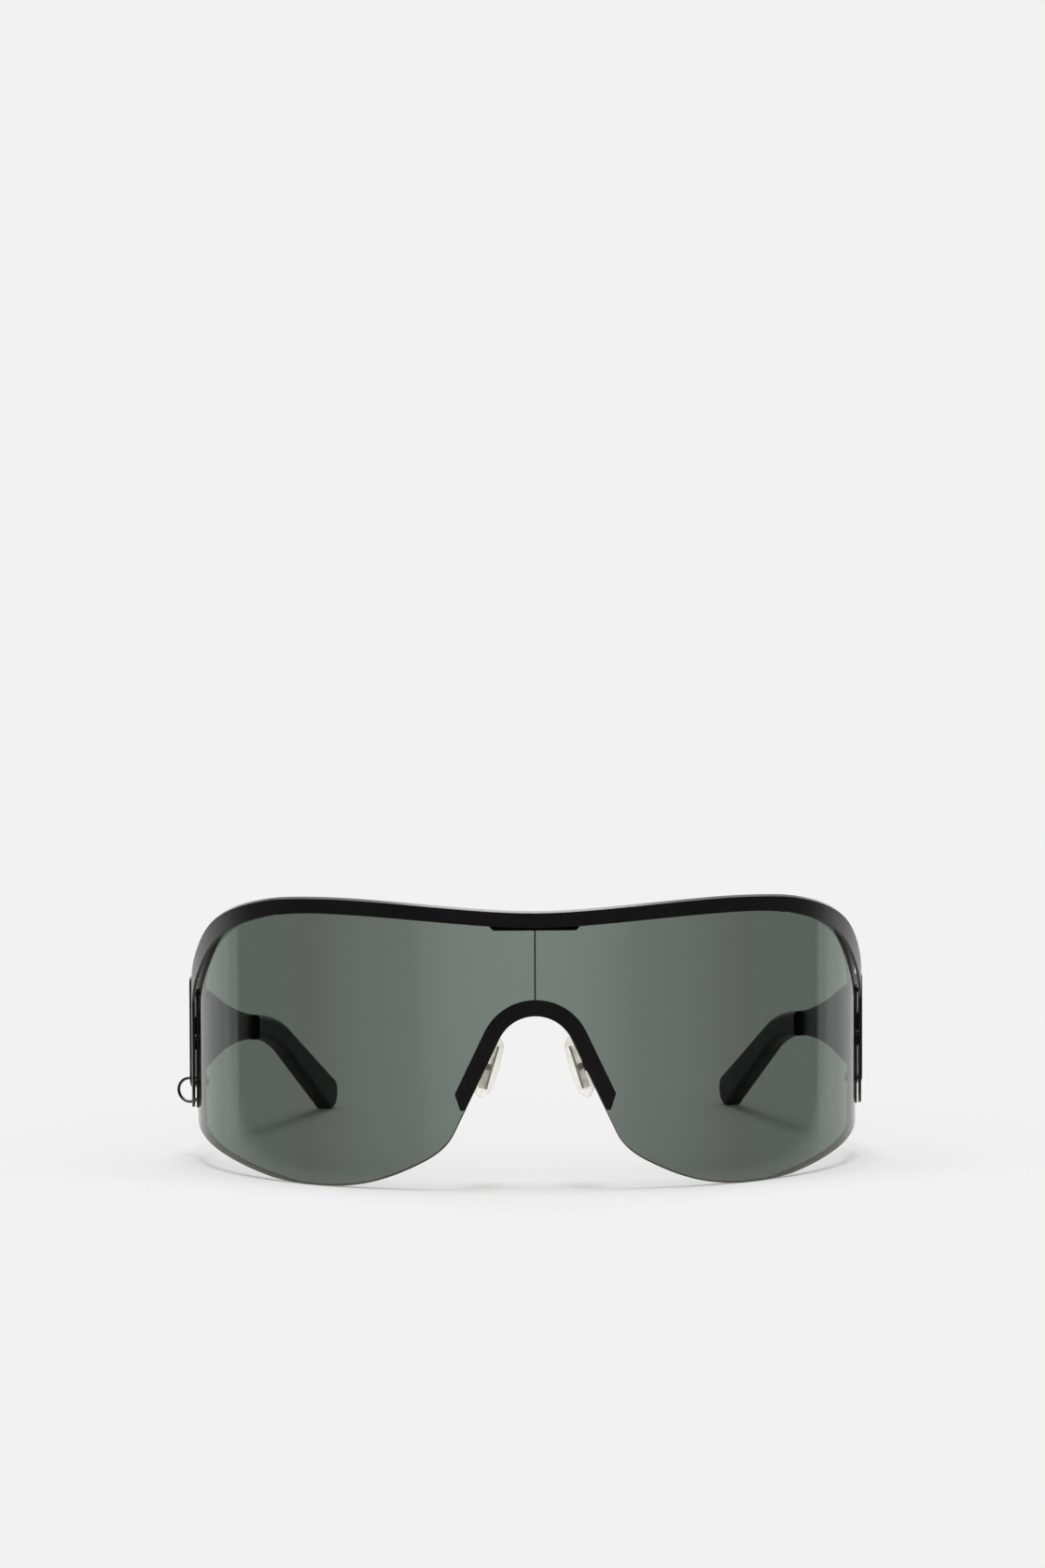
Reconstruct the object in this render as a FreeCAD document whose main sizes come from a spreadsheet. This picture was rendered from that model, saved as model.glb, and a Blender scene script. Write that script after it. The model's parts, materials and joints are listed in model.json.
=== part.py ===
import FreeCAD, Part
import math
import os
from types import SimpleNamespace

from FreeCAD import Placement, Rotation

# Driving dimensions: name, millimetres or degrees, meaning
SIZES = (
    # Lens
    ("lens_half_width", 70.6, "half the width over the lens's side edges"),
    ("lens_depth", 51.7, "depth of the lens's side edges behind its front"),
    ("front_radius", 125.0, "radius of the lens's front in plan"),
    ("front_angle", 9.5, "turn where the front runs into the corners"),
    ("corner_angle", 60.0, "turn where the corners tighten into the sides"),
    ("end_angle", 85.5, "turn at the lens's side edges"),
    ("lens_thickness", 1.8, "lens wall"),
    ("seam_gap", 0.16, "gap between the lens halves"),
    ("lens_inset", 0.6, "lens edge below the bar's top edge"),
    ("front_reach", 54.0, "half width of the outline drawn in the front view"),
    ("outline_overlap", 2.0, "how far the side view's outline runs into the front view's"),
    # Nose cut-out
    ("nose_height", 27.4, "height of the nose arc's centre"),
    ("nose_radius", 8.0, "radius of the lens's nose arc"),
    ("leg_angle", 25.5, "lean of the nose cut-out's sides"),
    ("leg_foot_height", 11.7, "height where the nose sides run into the lobes"),
    # Lobes
    ("touch_half_spacing", 45.5, "half the distance between the points the lens stands on"),
    ("lobe_rise_depth", 15.4, "depth where the lens's lower edge starts to rise"),
    ("lobe_rise_angle", 13.0, "rise of the lower edge towards the side"),
    ("lobe_corner_radius", 5.0, "lower side corner of the lens"),
    # Brow bar
    ("bar_thickness", 0.6, "sheet of the bar"),
    ("bar_height", 3.4, "height of the bar's face"),
    ("bar_side_gap", 0.65, "gap from the lens's face to the bar at the side edges"),
    ("bar_overhang", 2.8, "bar behind the lens's side edge"),
    ("drop_width", 5.0, "width of the bar's side drop"),
    ("drop_end_height", 11.2, "height of the side drop's lower end"),
    ("crown_height", 59.1, "highest point of the bar"),
    ("brow_dip", 2.4, "dip of the bar in the middle"),
    ("fall_drop", 0.58, "bar below its crown where the side view takes over"),
    ("side_fall", 25.5, "drop of the bar's edge from there to its upright rear edge"),
    # Nose arch
    ("arch_width", 3.2, "width of the nose arch's band"),
    ("arch_inset", 0.2, "arch edge inside the lens's edge"),
    ("arch_thickness", 0.8, "sheet of the nose arch"),
    ("arch_end_height", 19.7, "height of the arch's outer end corners"),
    ("arch_tip_height", 16.4, "height of the arch's lower tips"),
    ("arch_tip_width", 0.9, "width left at the arch's lower tips"),
    ("arch_rivet_low", 19.6, "height of the arch's lower rivets"),
    ("arch_rivet_high", 26.6, "height of the rivets through the pad arms"),
    # Centre clip
    ("clip_half_width", 9.3, "half the clip's width"),
    ("clip_show", 0.7, "clip below the bar's lower edge"),
    ("clip_top_inset", 0.8, "clip below the bar's upper edge"),
    ("clip_thickness", 1.2, "plate of the clip"),
    ("clip_chamfer", 0.9, "cut on the clip's lower corners"),
    ("clip_screw_half_spacing", 6.0, "half the distance between the clip's screws"),
    ("clip_screw_inset", 2.0, "clip's screws below the bar's upper edge"),
    # Side strips and posts
    ("strip_width", 2.2, "width of the strip along the lens's side edge"),
    ("strip_thickness", 0.3, "sheet of the strip"),
    ("strip_top_gap", 0.8, "strip's upper end below the lens's upper edge"),
    ("post_radius", 0.75, "radius of the posts between strip and bar"),
    ("post_inset", 1.1, "posts inside the strip's edges"),
    ("post_low", 16.8, "height of the lowest post"),
    # Small fasteners
    ("shank_radius", 0.45, "shank of the small screws and rivets"),
    ("screw_head_radius", 0.95, "head of the small screws"),
    ("head_height", 0.45, "height of the small heads"),
    ("thread_depth", 0.4, "depth of the blind holes in the bar and the arch"),
    # Hinge
    ("hinge_height", 27.0, "height of the hinge's middle"),
    ("hinge_reach", 0.9, "hinge axis behind the bar's rear edge"),
    ("hinge_inset", 1.4, "hinge axis inside the bar's inner face"),
    ("knuckle_radius", 1.2, "outside of the hinge barrel"),
    ("knuckle_half_height", 3.5, "half the height of the hinge barrel"),
    ("middle_half_height", 1.1, "half the height of the temple's knuckle"),
    ("knuckle_gap", 0.12, "gap between the knuckles"),
    ("leaf_thickness", 0.7, "sheet of the hinge leaves"),
    ("front_leaf_gap", 0.35, "front leaf behind the lens's side edge"),
    ("temple_leaf_length", 7.0, "length of the temple's leaf from the axis"),
    ("temple_leaf_start", 1.7, "start of the temple leaf's plate behind the axis"),
    ("temple_leaf_half_height", 2.8, "half the height of the temple's leaf"),
    ("pin_radius", 0.6, "hinge screw"),
    ("pin_head_radius", 0.95, "head of the hinge screw"),
    ("leaf_rivet_half_spacing", 1.7, "half the height between the leaf rivets"),
    ("leaf_rivet_place", 4.6, "temple rivets behind the axis"),
    # Temples
    ("right_toe_in", 18.3, "lean of the wearer's right temple inwards"),
    ("left_toe_in", 14.1, "lean of the wearer's left temple inwards"),
    ("temple_thickness", 0.8, "sheet of the temple"),
    ("temple_lap", 0.9, "temple in front of the hinge axis"),
    ("temple_top", 38.9, "height of the temple's front upper corner"),
    ("temple_corner", 1.2, "rounding of that corner"),
    ("neck_length", 36.1, "hinge axis to the neck"),
    ("neck_height", 24.3, "height of the neck's middle"),
    ("neck_width", 5.6, "height of the neck's section"),
    ("lug_height", 16.6, "height of the ring hole"),
    ("lug_radius", 1.7, "rounding round the ring hole"),
    ("core_width", 2.4, "width of the core inside the tip"),
    # Temple tips
    ("tip_length", 53.8, "neck to the end of the tip"),
    ("tip_thickness", 4.0, "thickness of the tip"),
    ("tip_round", 1.1, "rounding of the tip's edges"),
    # Ring
    ("ring_radius", 2.55, "middle of the ring's wire"),
    ("ring_wire_radius", 0.33, "wire of the ring"),
    ("ring_hole_radius", 0.65, "hole for the ring"),
    ("ring_lean", 25.0, "lean of the ring outwards"),
    # Nose pads
    ("pad_across", 9.25, "pad's middle from the centre plane"),
    ("pad_depth", 8.2, "pad's middle behind the lens's front"),
    ("pad_height", 24.3, "height of the pad's middle"),
    ("pad_length", 13.0, "length of the pad"),
    ("pad_width", 7.0, "width of the pad"),
    ("pad_thickness", 2.4, "thickness of the pad"),
    ("pad_round", 0.9, "rounding of the pad's edges"),
    ("pad_tilt", 18.9, "lean of the pad's top inwards"),
    ("pad_splay", 25.0, "turn of the pad's rear edge outwards"),
    ("insert_length", 9.0, "metal insert along the pad"),
    ("insert_width", 3.2, "metal insert across the pad"),
    ("insert_thickness", 0.5, "sheet of the insert"),
    ("lug_thickness", 0.9, "lug of the insert"),
    ("lug_end_radius", 0.65, "rounded end of the lug"),
    ("box_start", 1.5, "box from the pad's middle plane"),
    ("box_axis", 2.25, "pad screw from the pad's middle plane"),
    ("box_end", 3.5, "back of the box from the pad's middle plane"),
    ("box_wall", 0.45, "back wall of the box"),
    ("box_half_width", 1.5, "half the box across the pad"),
    ("box_half_length", 1.25, "half the box along the pad"),
    ("lug_play", 0.1, "play of the lug in the box"),
    ("pad_screw_radius", 0.38, "pad screw"),
    ("pad_screw_head_radius", 0.65, "head of the pad screw"),
    ("arm_radius", 0.5, "wire of the pad arm"),
    ("arm_bend_radius", 1.6, "bend of the pad arm"),
    ("arm_run", 2.2, "straight start of the pad arm"),
    ("foot_half_width", 1.5, "half the width of the arm's foot"),
    ("foot_length", 2.6, "foot from the rivet to the wire"),
    ("foot_thickness", 0.6, "sheet of the foot"),
    # Clearances
    ("seat_gap", 0.02, "gap between faces that are screwed together"),
    ("hole_gap", 0.05, "gap round a fastener in its hole"),
    ("running_gap", 0.04, "gap round a hinge pin"),
    ("core_gap", 0.05, "gap round the core in the tip"),
    ("overrun", 1.0, "how far a cut runs past what it cuts"),
)

# Outlines as shares of the sizes they follow, across first and then up
BROW_SHARES = ((0.0, 1.0), (0.3, 0.65), (0.58, 0.17), (0.78, 0.0), (0.885, 0.06))
FALL_SHARES = ((0.0, 0.0), (0.156, 0.054), (0.312, 0.131), (0.468, 0.243), (0.623, 0.403), (0.779, 0.58),
               (0.896, 0.713), (0.977, 0.859), (1.0, 1.0))
LOBE_SHARES = ((0.27, 0.42), (0.567, 0.124), (1.0, 0.0))
TEMPLE_UPPER_SHARES = ((0.238, 0.706), (0.5, 0.387), (0.742, 0.16), (1.0, 0.0))
TEMPLE_LOWER_SHARES = ((0.198, 0.71), (0.413, 0.225), (0.68, -0.08), (1.0, 0.0))
TIP_UPPER_SHARES = ((0.119, 1.082), (0.237, 1.025), (0.356, 0.93))
TIP_END_SHARES = ((0.945, 0.3), (0.985, 0.215), (0.985, 0.11), (0.955, 0.024), (0.91, 0.0), (0.86, 0.045))
TIP_LOWER_SHARES = ((0.346, 0.691), (0.21, 0.807), (0.119, 0.855))
CORE_SHARES = ((0.19, 0.93), (0.79, 0.335))

SIDES = {"right": -1, "left": 1}

doc = FreeCAD.newDocument("ShieldSunglasses")
sheet = doc.addObject("Spreadsheet::Sheet", "Sizes")
for row, (alias, value, meaning) in enumerate(SIZES, start=1):
    sheet.set("A%d" % row, meaning)
    sheet.set("B%d" % row, str(value))
    sheet.setAlias("B%d" % row, alias)
doc.recompute()
S = SimpleNamespace(**{alias: float(sheet.get(alias)) for alias, value, meaning in SIZES})
pieces = []


def vec(x, y, z=0.0):
    return FreeCAD.Vector(x, y, z)


UP = vec(0, 0, 1)
FLOOR_PLANE = Placement()
FRONT_PLANE = Placement(vec(0, 0, 0), Rotation(vec(1, 0, 0), 90))
SIDE_PLANE = Placement(vec(0, 0, 0), Rotation(vec(1, 1, 1), 120))


def bind(item, **formulas):
    """Tie properties of an object to the sheet."""
    for name, formula in formulas.items():
        item.setExpression(name, formula)
    return item


def keep(item, label):
    """Give a finished piece its name."""
    item.Label = label
    pieces.append(item)
    return item


def lines(*points):
    """Straight edges through the points."""
    return [Part.LineSegment(a, b) for a, b in zip(points, points[1:])]


def smooth(points, start=None):
    """A curve through the points, leaving the first along start."""
    curve = Part.BSplineCurve()
    if start is None:
        curve.interpolate(points)
    else:
        flags = [True] + [False] * (len(points) - 1)
        curve.interpolate(Points=points, Tangents=[start] * len(points), TangentFlags=flags)
    return curve


def mirrored(edges):
    """The same edges on the other side of the sketch's upright axis."""
    copies = []
    for edge in edges:
        copy = edge.copy()
        copy.mirror(vec(0, 0, 0), vec(0, 1, 0))
        copies.append(copy)
    return copies


def outline(name, edges, plane):
    sketch = doc.addObject("Sketcher::SketchObject", name)
    for edge in edges:
        sketch.addGeometry(edge, False)
    sketch.Placement = plane
    return sketch


def slab(name, edges, plane, length):
    """A closed outline pushed out both ways from its plane, or up from the floor."""
    block = doc.addObject("Part::Extrusion", name)
    block.Base = outline(name + "_outline", edges, plane)
    block.DirMode = "Normal"
    block.Solid = True
    block.Symmetric = plane is not FLOOR_PLANE
    return bind(block, LengthFwd=length)


def wide_slab(name, edges, plane):
    """A slab that runs past the whole part."""
    return slab(name, edges, plane, "4 * Sizes.lens_half_width")


def plan_slab(name, edges):
    return slab(name, edges, FLOOR_PLANE, "Sizes.crown_height + Sizes.overrun")


def common(name, *items):
    item = doc.addObject("Part::MultiCommon", name)
    item.Shapes = items
    return item


def fused(name, items):
    item = doc.addObject("Part::MultiFuse", name)
    item.Shapes = items
    return item


def group(name, items):
    item = doc.addObject("Part::Compound", name)
    item.Links = items
    return item


def cut(name, base, tools):
    item = doc.addObject("Part::Cut", name)
    item.Base = base
    item.Tool = group(name + "_tools", tools)
    return item


def rod(name, at, axis, start, stop, radius):
    """A round bar along an axis, from one distance to another; radius is a formula."""
    item = doc.addObject("Part::Cylinder", name)
    bind(item, Radius=radius)
    item.Height = stop - start
    item.Placement = Placement(at + axis * start, Rotation(UP, axis))
    return item


def block(name, frame, low, high):
    """A box between two corners of a frame."""
    item = doc.addObject("Part::Box", name)
    item.Length = high.x - low.x
    item.Width = high.y - low.y
    item.Height = high.z - low.z
    item.Placement = frame.multiply(Placement(low, Rotation()))
    return item


def pinned(name, at, axis, start, stop, shank, head):
    """A screw or rivet: its shank from start to stop, its head outside start."""
    stem = rod(name + "_shank", at, axis, start, stop, shank)
    cap = rod(name + "_head", at, axis, start - S.head_height, start, head)
    return fused(name, [stem, cap])


class Plan:
    """Plan of a wrapped sheet: a shallow front arc, two corner arcs and two tighter side arcs."""

    def __init__(self, half_width, front_radius):
        first, second, third = [math.radians(a) for a in (S.front_angle, S.corner_angle, S.end_angle)]
        across = half_width - front_radius * math.sin(first)
        back = S.lens_depth - S.front_radius + front_radius * math.cos(first)
        wide = math.sin(second) - math.sin(first), math.sin(third) - math.sin(second)
        deep = math.cos(first) - math.cos(second), math.cos(second) - math.cos(third)
        scale = wide[0] * deep[1] - wide[1] * deep[0]
        corner = (across * deep[1] - wide[1] * back) / scale
        side = (wide[0] * back - deep[0] * across) / scale
        front_centre = vec(0, S.front_radius)
        corner_centre = front_centre + self.normal(S.front_angle) * (front_radius - corner)
        side_centre = corner_centre + self.normal(S.corner_angle) * (corner - side)
        self.arcs = (
            (S.front_angle, front_centre, front_radius),
            (S.corner_angle, corner_centre, corner),
            (S.end_angle, side_centre, side),
        )

    def normal(self, angle):
        turn = math.radians(angle)
        return vec(math.sin(turn), -math.cos(turn))

    def along(self, angle):
        """Direction towards the sheet's own end."""
        turn = math.radians(angle)
        return vec(math.cos(turn), math.sin(turn)) * math.copysign(1, angle)

    def point(self, angle, offset=0.0, tail=0.0):
        """The point at a turn from the front, offset outwards, or past the end by a tail."""
        centre, radius = next((c, r) for stop, c, r in self.arcs if abs(angle) <= stop)
        middle = vec(centre.x * math.copysign(1, angle), centre.y)
        return middle + self.normal(angle) * (radius + offset) + self.along(angle) * tail

    def turn_at_width(self, across, offset=0.0):
        """Turn of the point that far from the centre plane."""
        for stop, centre, radius in self.arcs:
            if across <= self.point(stop, offset).x:
                return math.degrees(math.asin((across - centre.x) / (radius + offset)))
        return S.end_angle

    def turn_at_depth(self, depth):
        """Turn of the point that far behind the front."""
        for stop, centre, radius in self.arcs:
            if depth <= self.point(stop).y:
                return math.degrees(math.acos((centre.y - depth) / radius))
        return S.end_angle

    def path(self, offset, start, stop, tail):
        joints = sorted(sign * angle for angle in (S.front_angle, S.corner_angle) for sign in SIDES.values())
        turns = [start] + [a for a in joints if start < a < stop] + [stop]
        edges = []
        for first, last in zip(turns, turns[1:]):
            middle = (first + last) / 2
            edges.append(Part.Arc(*[self.point(turn, offset) for turn in (first, middle, last)]))
        for angle in (start, stop):
            if tail and abs(angle) == S.end_angle:
                edges += lines(self.point(angle, offset), self.point(angle, offset, tail))
        return edges

    def band(self, inner, outer, start, stop, tail=0.0):
        """Closed plan of a sheet between two offsets, its own ends run on by a tail."""
        edges = self.path(inner, start, stop, tail) + self.path(outer, start, stop, tail)
        for angle in (start, stop):
            extra = tail if abs(angle) == S.end_angle else 0.0
            edges += lines(self.point(angle, inner, extra), self.point(angle, outer, extra))
        return edges


lens_plan = Plan(S.lens_half_width, S.front_radius)
bar_plan = Plan(S.lens_half_width + S.bar_side_gap, S.front_radius + S.seat_gap)

# Levels and depths that several pieces share
ceiling = S.crown_height + S.overrun
lens_end = lens_plan.point(S.end_angle).y
bar_rear = lens_end + S.bar_overhang
bar_tail = (bar_rear - bar_plan.point(S.end_angle).y) / bar_plan.along(S.end_angle).y
side_start = lens_plan.point(lens_plan.turn_at_width(S.front_reach - S.outline_overlap)).y
lens_back = -S.lens_thickness - S.seat_gap
clip_back = lens_back - S.clip_thickness
foot_back = lens_back - S.foot_thickness
post_turn = lens_plan.turn_at_depth(lens_end - S.post_inset)


def rise(depth):
    """Height of the lens's lower edge along the side."""
    return math.tan(math.radians(S.lobe_rise_angle)) * (depth - S.lobe_rise_depth)


def upright_end(points):
    """A curve through the points that ends straight down."""
    curve = Part.BSplineCurve()
    flags = [False] * (len(points) - 1) + [True]
    curve.interpolate(Points=points, Tangents=[vec(0, -1)] * len(points), TangentFlags=flags)
    return curve


def side_edge(front_inset, rear_inset):
    """Side view of the bar's upper edge, or of a line inside it by an inset in front and one at the rear."""
    top = S.crown_height - S.fall_drop
    run = bar_rear - side_start
    points = [vec(side_start + back * run, top - down * S.side_fall) for back, down in FALL_SHARES]
    edge = upright_end(points)
    inside = []
    for point in points:
        heading = edge.tangent(edge.parameter(point))[0]
        inset = front_inset + (rear_inset - front_inset) * (point.x - side_start) / run
        inside.append(point + vec(heading.y, -heading.x) * inset)
    return upright_end(inside)


def height_at(edge, depth):
    """Height of a side edge at a depth, by halving."""
    first = edge.FirstParameter
    last = edge.LastParameter
    while last - first > S.seat_gap * edge.LastParameter / S.lens_half_width:
        middle = (first + last) / 2
        first, last = (middle, last) if edge.value(middle).x < depth else (first, middle)
    return edge.value((first + last) / 2).y


bar_edge = side_edge(0.0, 0.0)
bar_inner_edge = side_edge(S.bar_height, S.drop_width)
lens_edge = side_edge(S.lens_inset, S.bar_overhang)
strip_high = height_at(lens_edge, lens_end - S.strip_width) - S.strip_top_gap
post_high = strip_high - S.post_inset
post_heights = (S.post_low, (S.post_low + post_high) / 2, post_high)
brow_low = S.crown_height - S.brow_dip


def brow_edge(drop, plan, offset, side):
    """A sheet's upper edge in the front view, drop below the bar's, up to where its side view takes over."""
    top = S.crown_height - drop
    half = [vec(across * S.front_reach, top - S.brow_dip * dip) for across, dip in BROW_SHARES]
    for across in (S.front_reach, S.front_reach + S.outline_overlap):
        depth = plan.point(plan.turn_at_width(across, offset), offset).y
        half.append(vec(across, height_at(side, depth)))
    curve = smooth([vec(-p.x, p.y) for p in reversed(half[1:])] + half)
    far = half[-2]
    curve.segment(curve.parameter(vec(-far.x, far.y)), curve.parameter(far))
    return curve


def leg_point(radius, height):
    """Point at a height on the side of the nose cut-out, radius from the nose arc's centre."""
    lean = math.radians(S.leg_angle)
    along = (S.nose_height - height + radius * math.sin(lean)) / math.cos(lean)
    tangent = vec(radius * math.cos(lean), S.nose_height + radius * math.sin(lean))
    return tangent + vec(math.sin(lean), -math.cos(lean)) * along


def nose_arc(radius):
    lean = math.radians(S.leg_angle)
    side = vec(radius * math.cos(lean), S.nose_height + radius * math.sin(lean))
    return Part.Arc(vec(-side.x, side.y), vec(0, S.nose_height + radius), side), side


def lens_front():
    """Front view of the lens, open to full height beyond its reach."""
    lean = math.radians(S.leg_angle)
    arc, side = nose_arc(S.nose_radius)
    foot = leg_point(S.nose_radius, S.leg_foot_height)
    span = S.touch_half_spacing - foot.x
    lobe = [foot] + [vec(foot.x + across * span, foot.y * up) for across, up in LOBE_SHARES]
    lobe.append(vec(S.front_reach, rise(lens_plan.point(lens_plan.turn_at_width(S.front_reach)).y)))
    curve = smooth(lobe, vec(math.sin(lean), -math.cos(lean)))
    top = brow_edge(S.lens_inset, lens_plan, 0.0, lens_edge)
    far = S.lens_half_width + S.overrun
    corner = top.EndPoint
    edge = lines(lobe[-1], vec(S.front_reach, -S.overrun), vec(far, -S.overrun), vec(far, ceiling),
                 vec(S.front_reach, ceiling), corner)
    half = lines(side, foot) + [curve] + edge
    return [arc, top] + half + mirrored(half)


def lens_side():
    """Side view of the lens, open to full height in front of the corners."""
    lean = math.radians(S.lobe_rise_angle)
    radius = S.lobe_corner_radius
    centre = vec(lens_end - radius, rise(lens_end - radius) + radius / math.cos(lean))
    low = centre + vec(math.sin(lean), -math.cos(lean)) * radius
    middle = centre + vec(math.cos(math.pi / 4 - lean / 2), -math.sin(math.pi / 4 - lean / 2)) * radius
    high = centre + vec(radius, 0)
    front = -S.overrun - S.bar_thickness
    edges = lines(vec(side_start, rise(side_start)), low) + [Part.Arc(low, middle, high), lens_edge]
    edges += lines(high, lens_edge.EndPoint)
    edges += lines(lens_edge.StartPoint, vec(side_start, ceiling), vec(front, ceiling),
                   vec(front, -S.overrun), vec(side_start, -S.overrun), vec(side_start, rise(side_start)))
    return edges


def fastener_hole(name, at, axis, start, stop, shank):
    return rod(name, at, axis, start, stop, shank + " + Sizes.hole_gap")


def clip_places():
    for name, sign in SIDES.items():
        turn = sign * lens_plan.turn_at_width(S.clip_screw_half_spacing)
        yield name, lens_plan.point(turn) + UP * (brow_low - S.clip_screw_inset), lens_plan.normal(turn)


def arch_places():
    """Places on the lens's face of the arch's rivets, and the turn outwards there."""
    for name, sign in SIDES.items():
        for level, height in (("low", S.arch_rivet_low), ("high", S.arch_rivet_high)):
            across = leg_point(S.nose_radius + S.arch_inset + S.arch_width / 2, height).x
            turn = sign * lens_plan.turn_at_width(across)
            yield name + "_" + level, lens_plan.point(turn) + UP * height, lens_plan.normal(turn)


def post_places():
    for name, sign in SIDES.items():
        for count, height in enumerate(post_heights):
            turn = sign * post_turn
            yield "%s_%d" % (name, count), lens_plan.point(turn) + UP * height, lens_plan.normal(turn)


def post_gap():
    """Distance from the lens's face to the bar's inner face at the posts."""
    stop, centre, radius = bar_plan.arcs[-1]
    at = lens_plan.point(post_turn) - centre
    lean = at.dot(lens_plan.normal(post_turn))
    return -lean + math.sqrt(lean ** 2 + radius ** 2 - at.dot(at))


def side_frame(sign):
    """Frame on the hinge axis, its X back along the bar."""
    out = bar_plan.normal(sign * S.end_angle)
    back = bar_plan.along(sign * S.end_angle)
    edge = bar_plan.point(sign * S.end_angle, tail=bar_tail)
    axis = edge + back * S.hinge_reach - out * S.hinge_inset
    return Placement(axis, Rotation(back, UP.cross(back), UP, "ZXY"))


def temple_frame(sign, toe_in):
    """Frame on the hinge axis, its X back along the temple."""
    lean = math.radians(toe_in)
    back = vec(-sign * math.sin(lean), math.cos(lean))
    return Placement(side_frame(sign).Base, Rotation(back, UP.cross(back), UP, "ZXY"))


def outward(sign, near, far):
    """Range across a side's frame between two distances outwards of the hinge axis."""
    return sorted((-sign * near, -sign * far))


toe_in = {"right": S.right_toe_in, "left": S.left_toe_in}
bar_frames = {name: side_frame(sign) for name, sign in SIDES.items()}
temple_frames = {name: temple_frame(sign, toe_in[name]) for name, sign in SIDES.items()}


def leaf_rivets(name, frame, sign, place, start, stop):
    """Two rivets through a leaf, heads inside, and their holes."""
    axis = frame.Rotation.multVec(vec(0, -sign))
    rivets = []
    holes = []
    for level in (-1, 1):
        local = vec(place, 0, S.hinge_height + level * S.leaf_rivet_half_spacing)
        at = frame.multVec(local)
        label = "%s_%s" % (name, "lower" if level < 0 else "upper")
        rivets.append(pinned(label, at, axis, start, stop, "Sizes.shank_radius", "Sizes.screw_head_radius"))
        holes.append(fastener_hole(label + "_hole", at, axis, start - S.overrun, stop + S.hole_gap,
                                   "Sizes.shank_radius"))
    return rivets, holes


# The front leaf's rivets sit midway along the leaf, and go into the bar
leaf_front = -(S.bar_overhang + S.hinge_reach - S.front_leaf_gap)
leaf_rear = -(S.knuckle_radius + S.front_leaf_gap)
leaf_face = S.hinge_inset - S.seat_gap
leaf_inside = leaf_face - S.leaf_thickness
bar_rivet_stop = S.hinge_inset + S.thread_depth
temple_rivet_stop = S.hinge_inset + S.temple_thickness
front_rivets = {}
temple_rivets = {}
for name, sign in SIDES.items():
    front_rivets[name] = leaf_rivets("front_rivet_" + name, bar_frames[name], sign,
                                     (leaf_front + leaf_rear) / 2, leaf_inside, bar_rivet_stop)
    temple_rivets[name] = leaf_rivets("temple_rivet_" + name, temple_frames[name], sign, S.leaf_rivet_place,
                                      leaf_inside, temple_rivet_stop)


def make_brow_bar():
    """The band over the lens: plan, front view and side view in common, with blind holes inside."""
    plan = plan_slab("bar_plan", bar_plan.band(0.0, S.bar_thickness, -S.end_angle, S.end_angle,
                                               bar_tail + S.overrun))
    top = brow_edge(0.0, bar_plan, S.bar_thickness, bar_edge)
    low = brow_edge(S.bar_height, bar_plan, 0.0, bar_inner_edge)
    far = S.lens_half_width + S.bar_side_gap + S.bar_thickness + S.overrun
    edge = lines(low.EndPoint, vec(S.front_reach, -S.overrun), vec(far, -S.overrun), vec(far, ceiling),
                 vec(S.front_reach, ceiling), top.EndPoint)
    front = wide_slab("bar_front", [top, low] + edge + mirrored(edge), FRONT_PLANE)
    half = S.drop_width / 2
    foot = vec(bar_rear - half, S.drop_end_height)
    foot_arc = Part.Arc(foot + vec(half, half), foot, foot + vec(-half, half))
    ahead = -S.overrun - S.bar_thickness
    edges = [bar_edge, bar_inner_edge, foot_arc] + lines(bar_edge.EndPoint, foot + vec(half, half))
    edges += lines(foot + vec(-half, half), bar_inner_edge.EndPoint)
    edges += lines(bar_inner_edge.StartPoint, vec(side_start, -S.overrun), vec(ahead, -S.overrun),
                   vec(ahead, ceiling), vec(side_start, ceiling), bar_edge.StartPoint)
    side = wide_slab("bar_side", edges, SIDE_PLANE)
    stop = S.seat_gap + S.thread_depth + S.hole_gap
    holes = [fastener_hole("bar_clip_hole_" + name, at, axis, lens_back, stop, "Sizes.shank_radius")
             for name, at, axis in clip_places()]
    stop = post_gap() + S.thread_depth + S.hole_gap
    holes += [fastener_hole("bar_post_hole_" + name, at, axis, lens_back, stop, "Sizes.shank_radius")
              for name, at, axis in post_places()]
    for name in SIDES:
        holes += front_rivets[name][1]
    keep(cut("brow_bar", common("bar_band", plan, front, side), holes), "brow_bar")


def make_lenses():
    """The shield, cut into two halves at the seam, with its screw holes."""
    outline = lens_plan.band(-S.lens_thickness, 0.0, -S.end_angle, S.end_angle, S.overrun)
    plan = plan_slab("lens_plan", outline)
    shield = common("shield", plan, wide_slab("lens_front", lens_front(), FRONT_PLANE),
                    wide_slab("lens_side", lens_side(), SIDE_PLANE))
    places = list(clip_places()) + list(arch_places()) + list(post_places())
    start = lens_back - S.overrun
    holes = [fastener_hole("lens_hole_" + name, at, axis, start, S.overrun, "Sizes.shank_radius")
             for name, at, axis in places]
    drilled = cut("drilled_shield", shield, holes)
    far = S.lens_half_width + S.overrun
    for name, sign in SIDES.items():
        near, away = sorted((sign * S.seam_gap / 2, sign * far))
        half = block("half_space_" + name, Placement(), vec(near, -S.overrun, -S.overrun),
                     vec(away, lens_end + S.overrun, ceiling))
        keep(common("lens_" + name, drilled, half), "lens_" + name)


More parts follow.
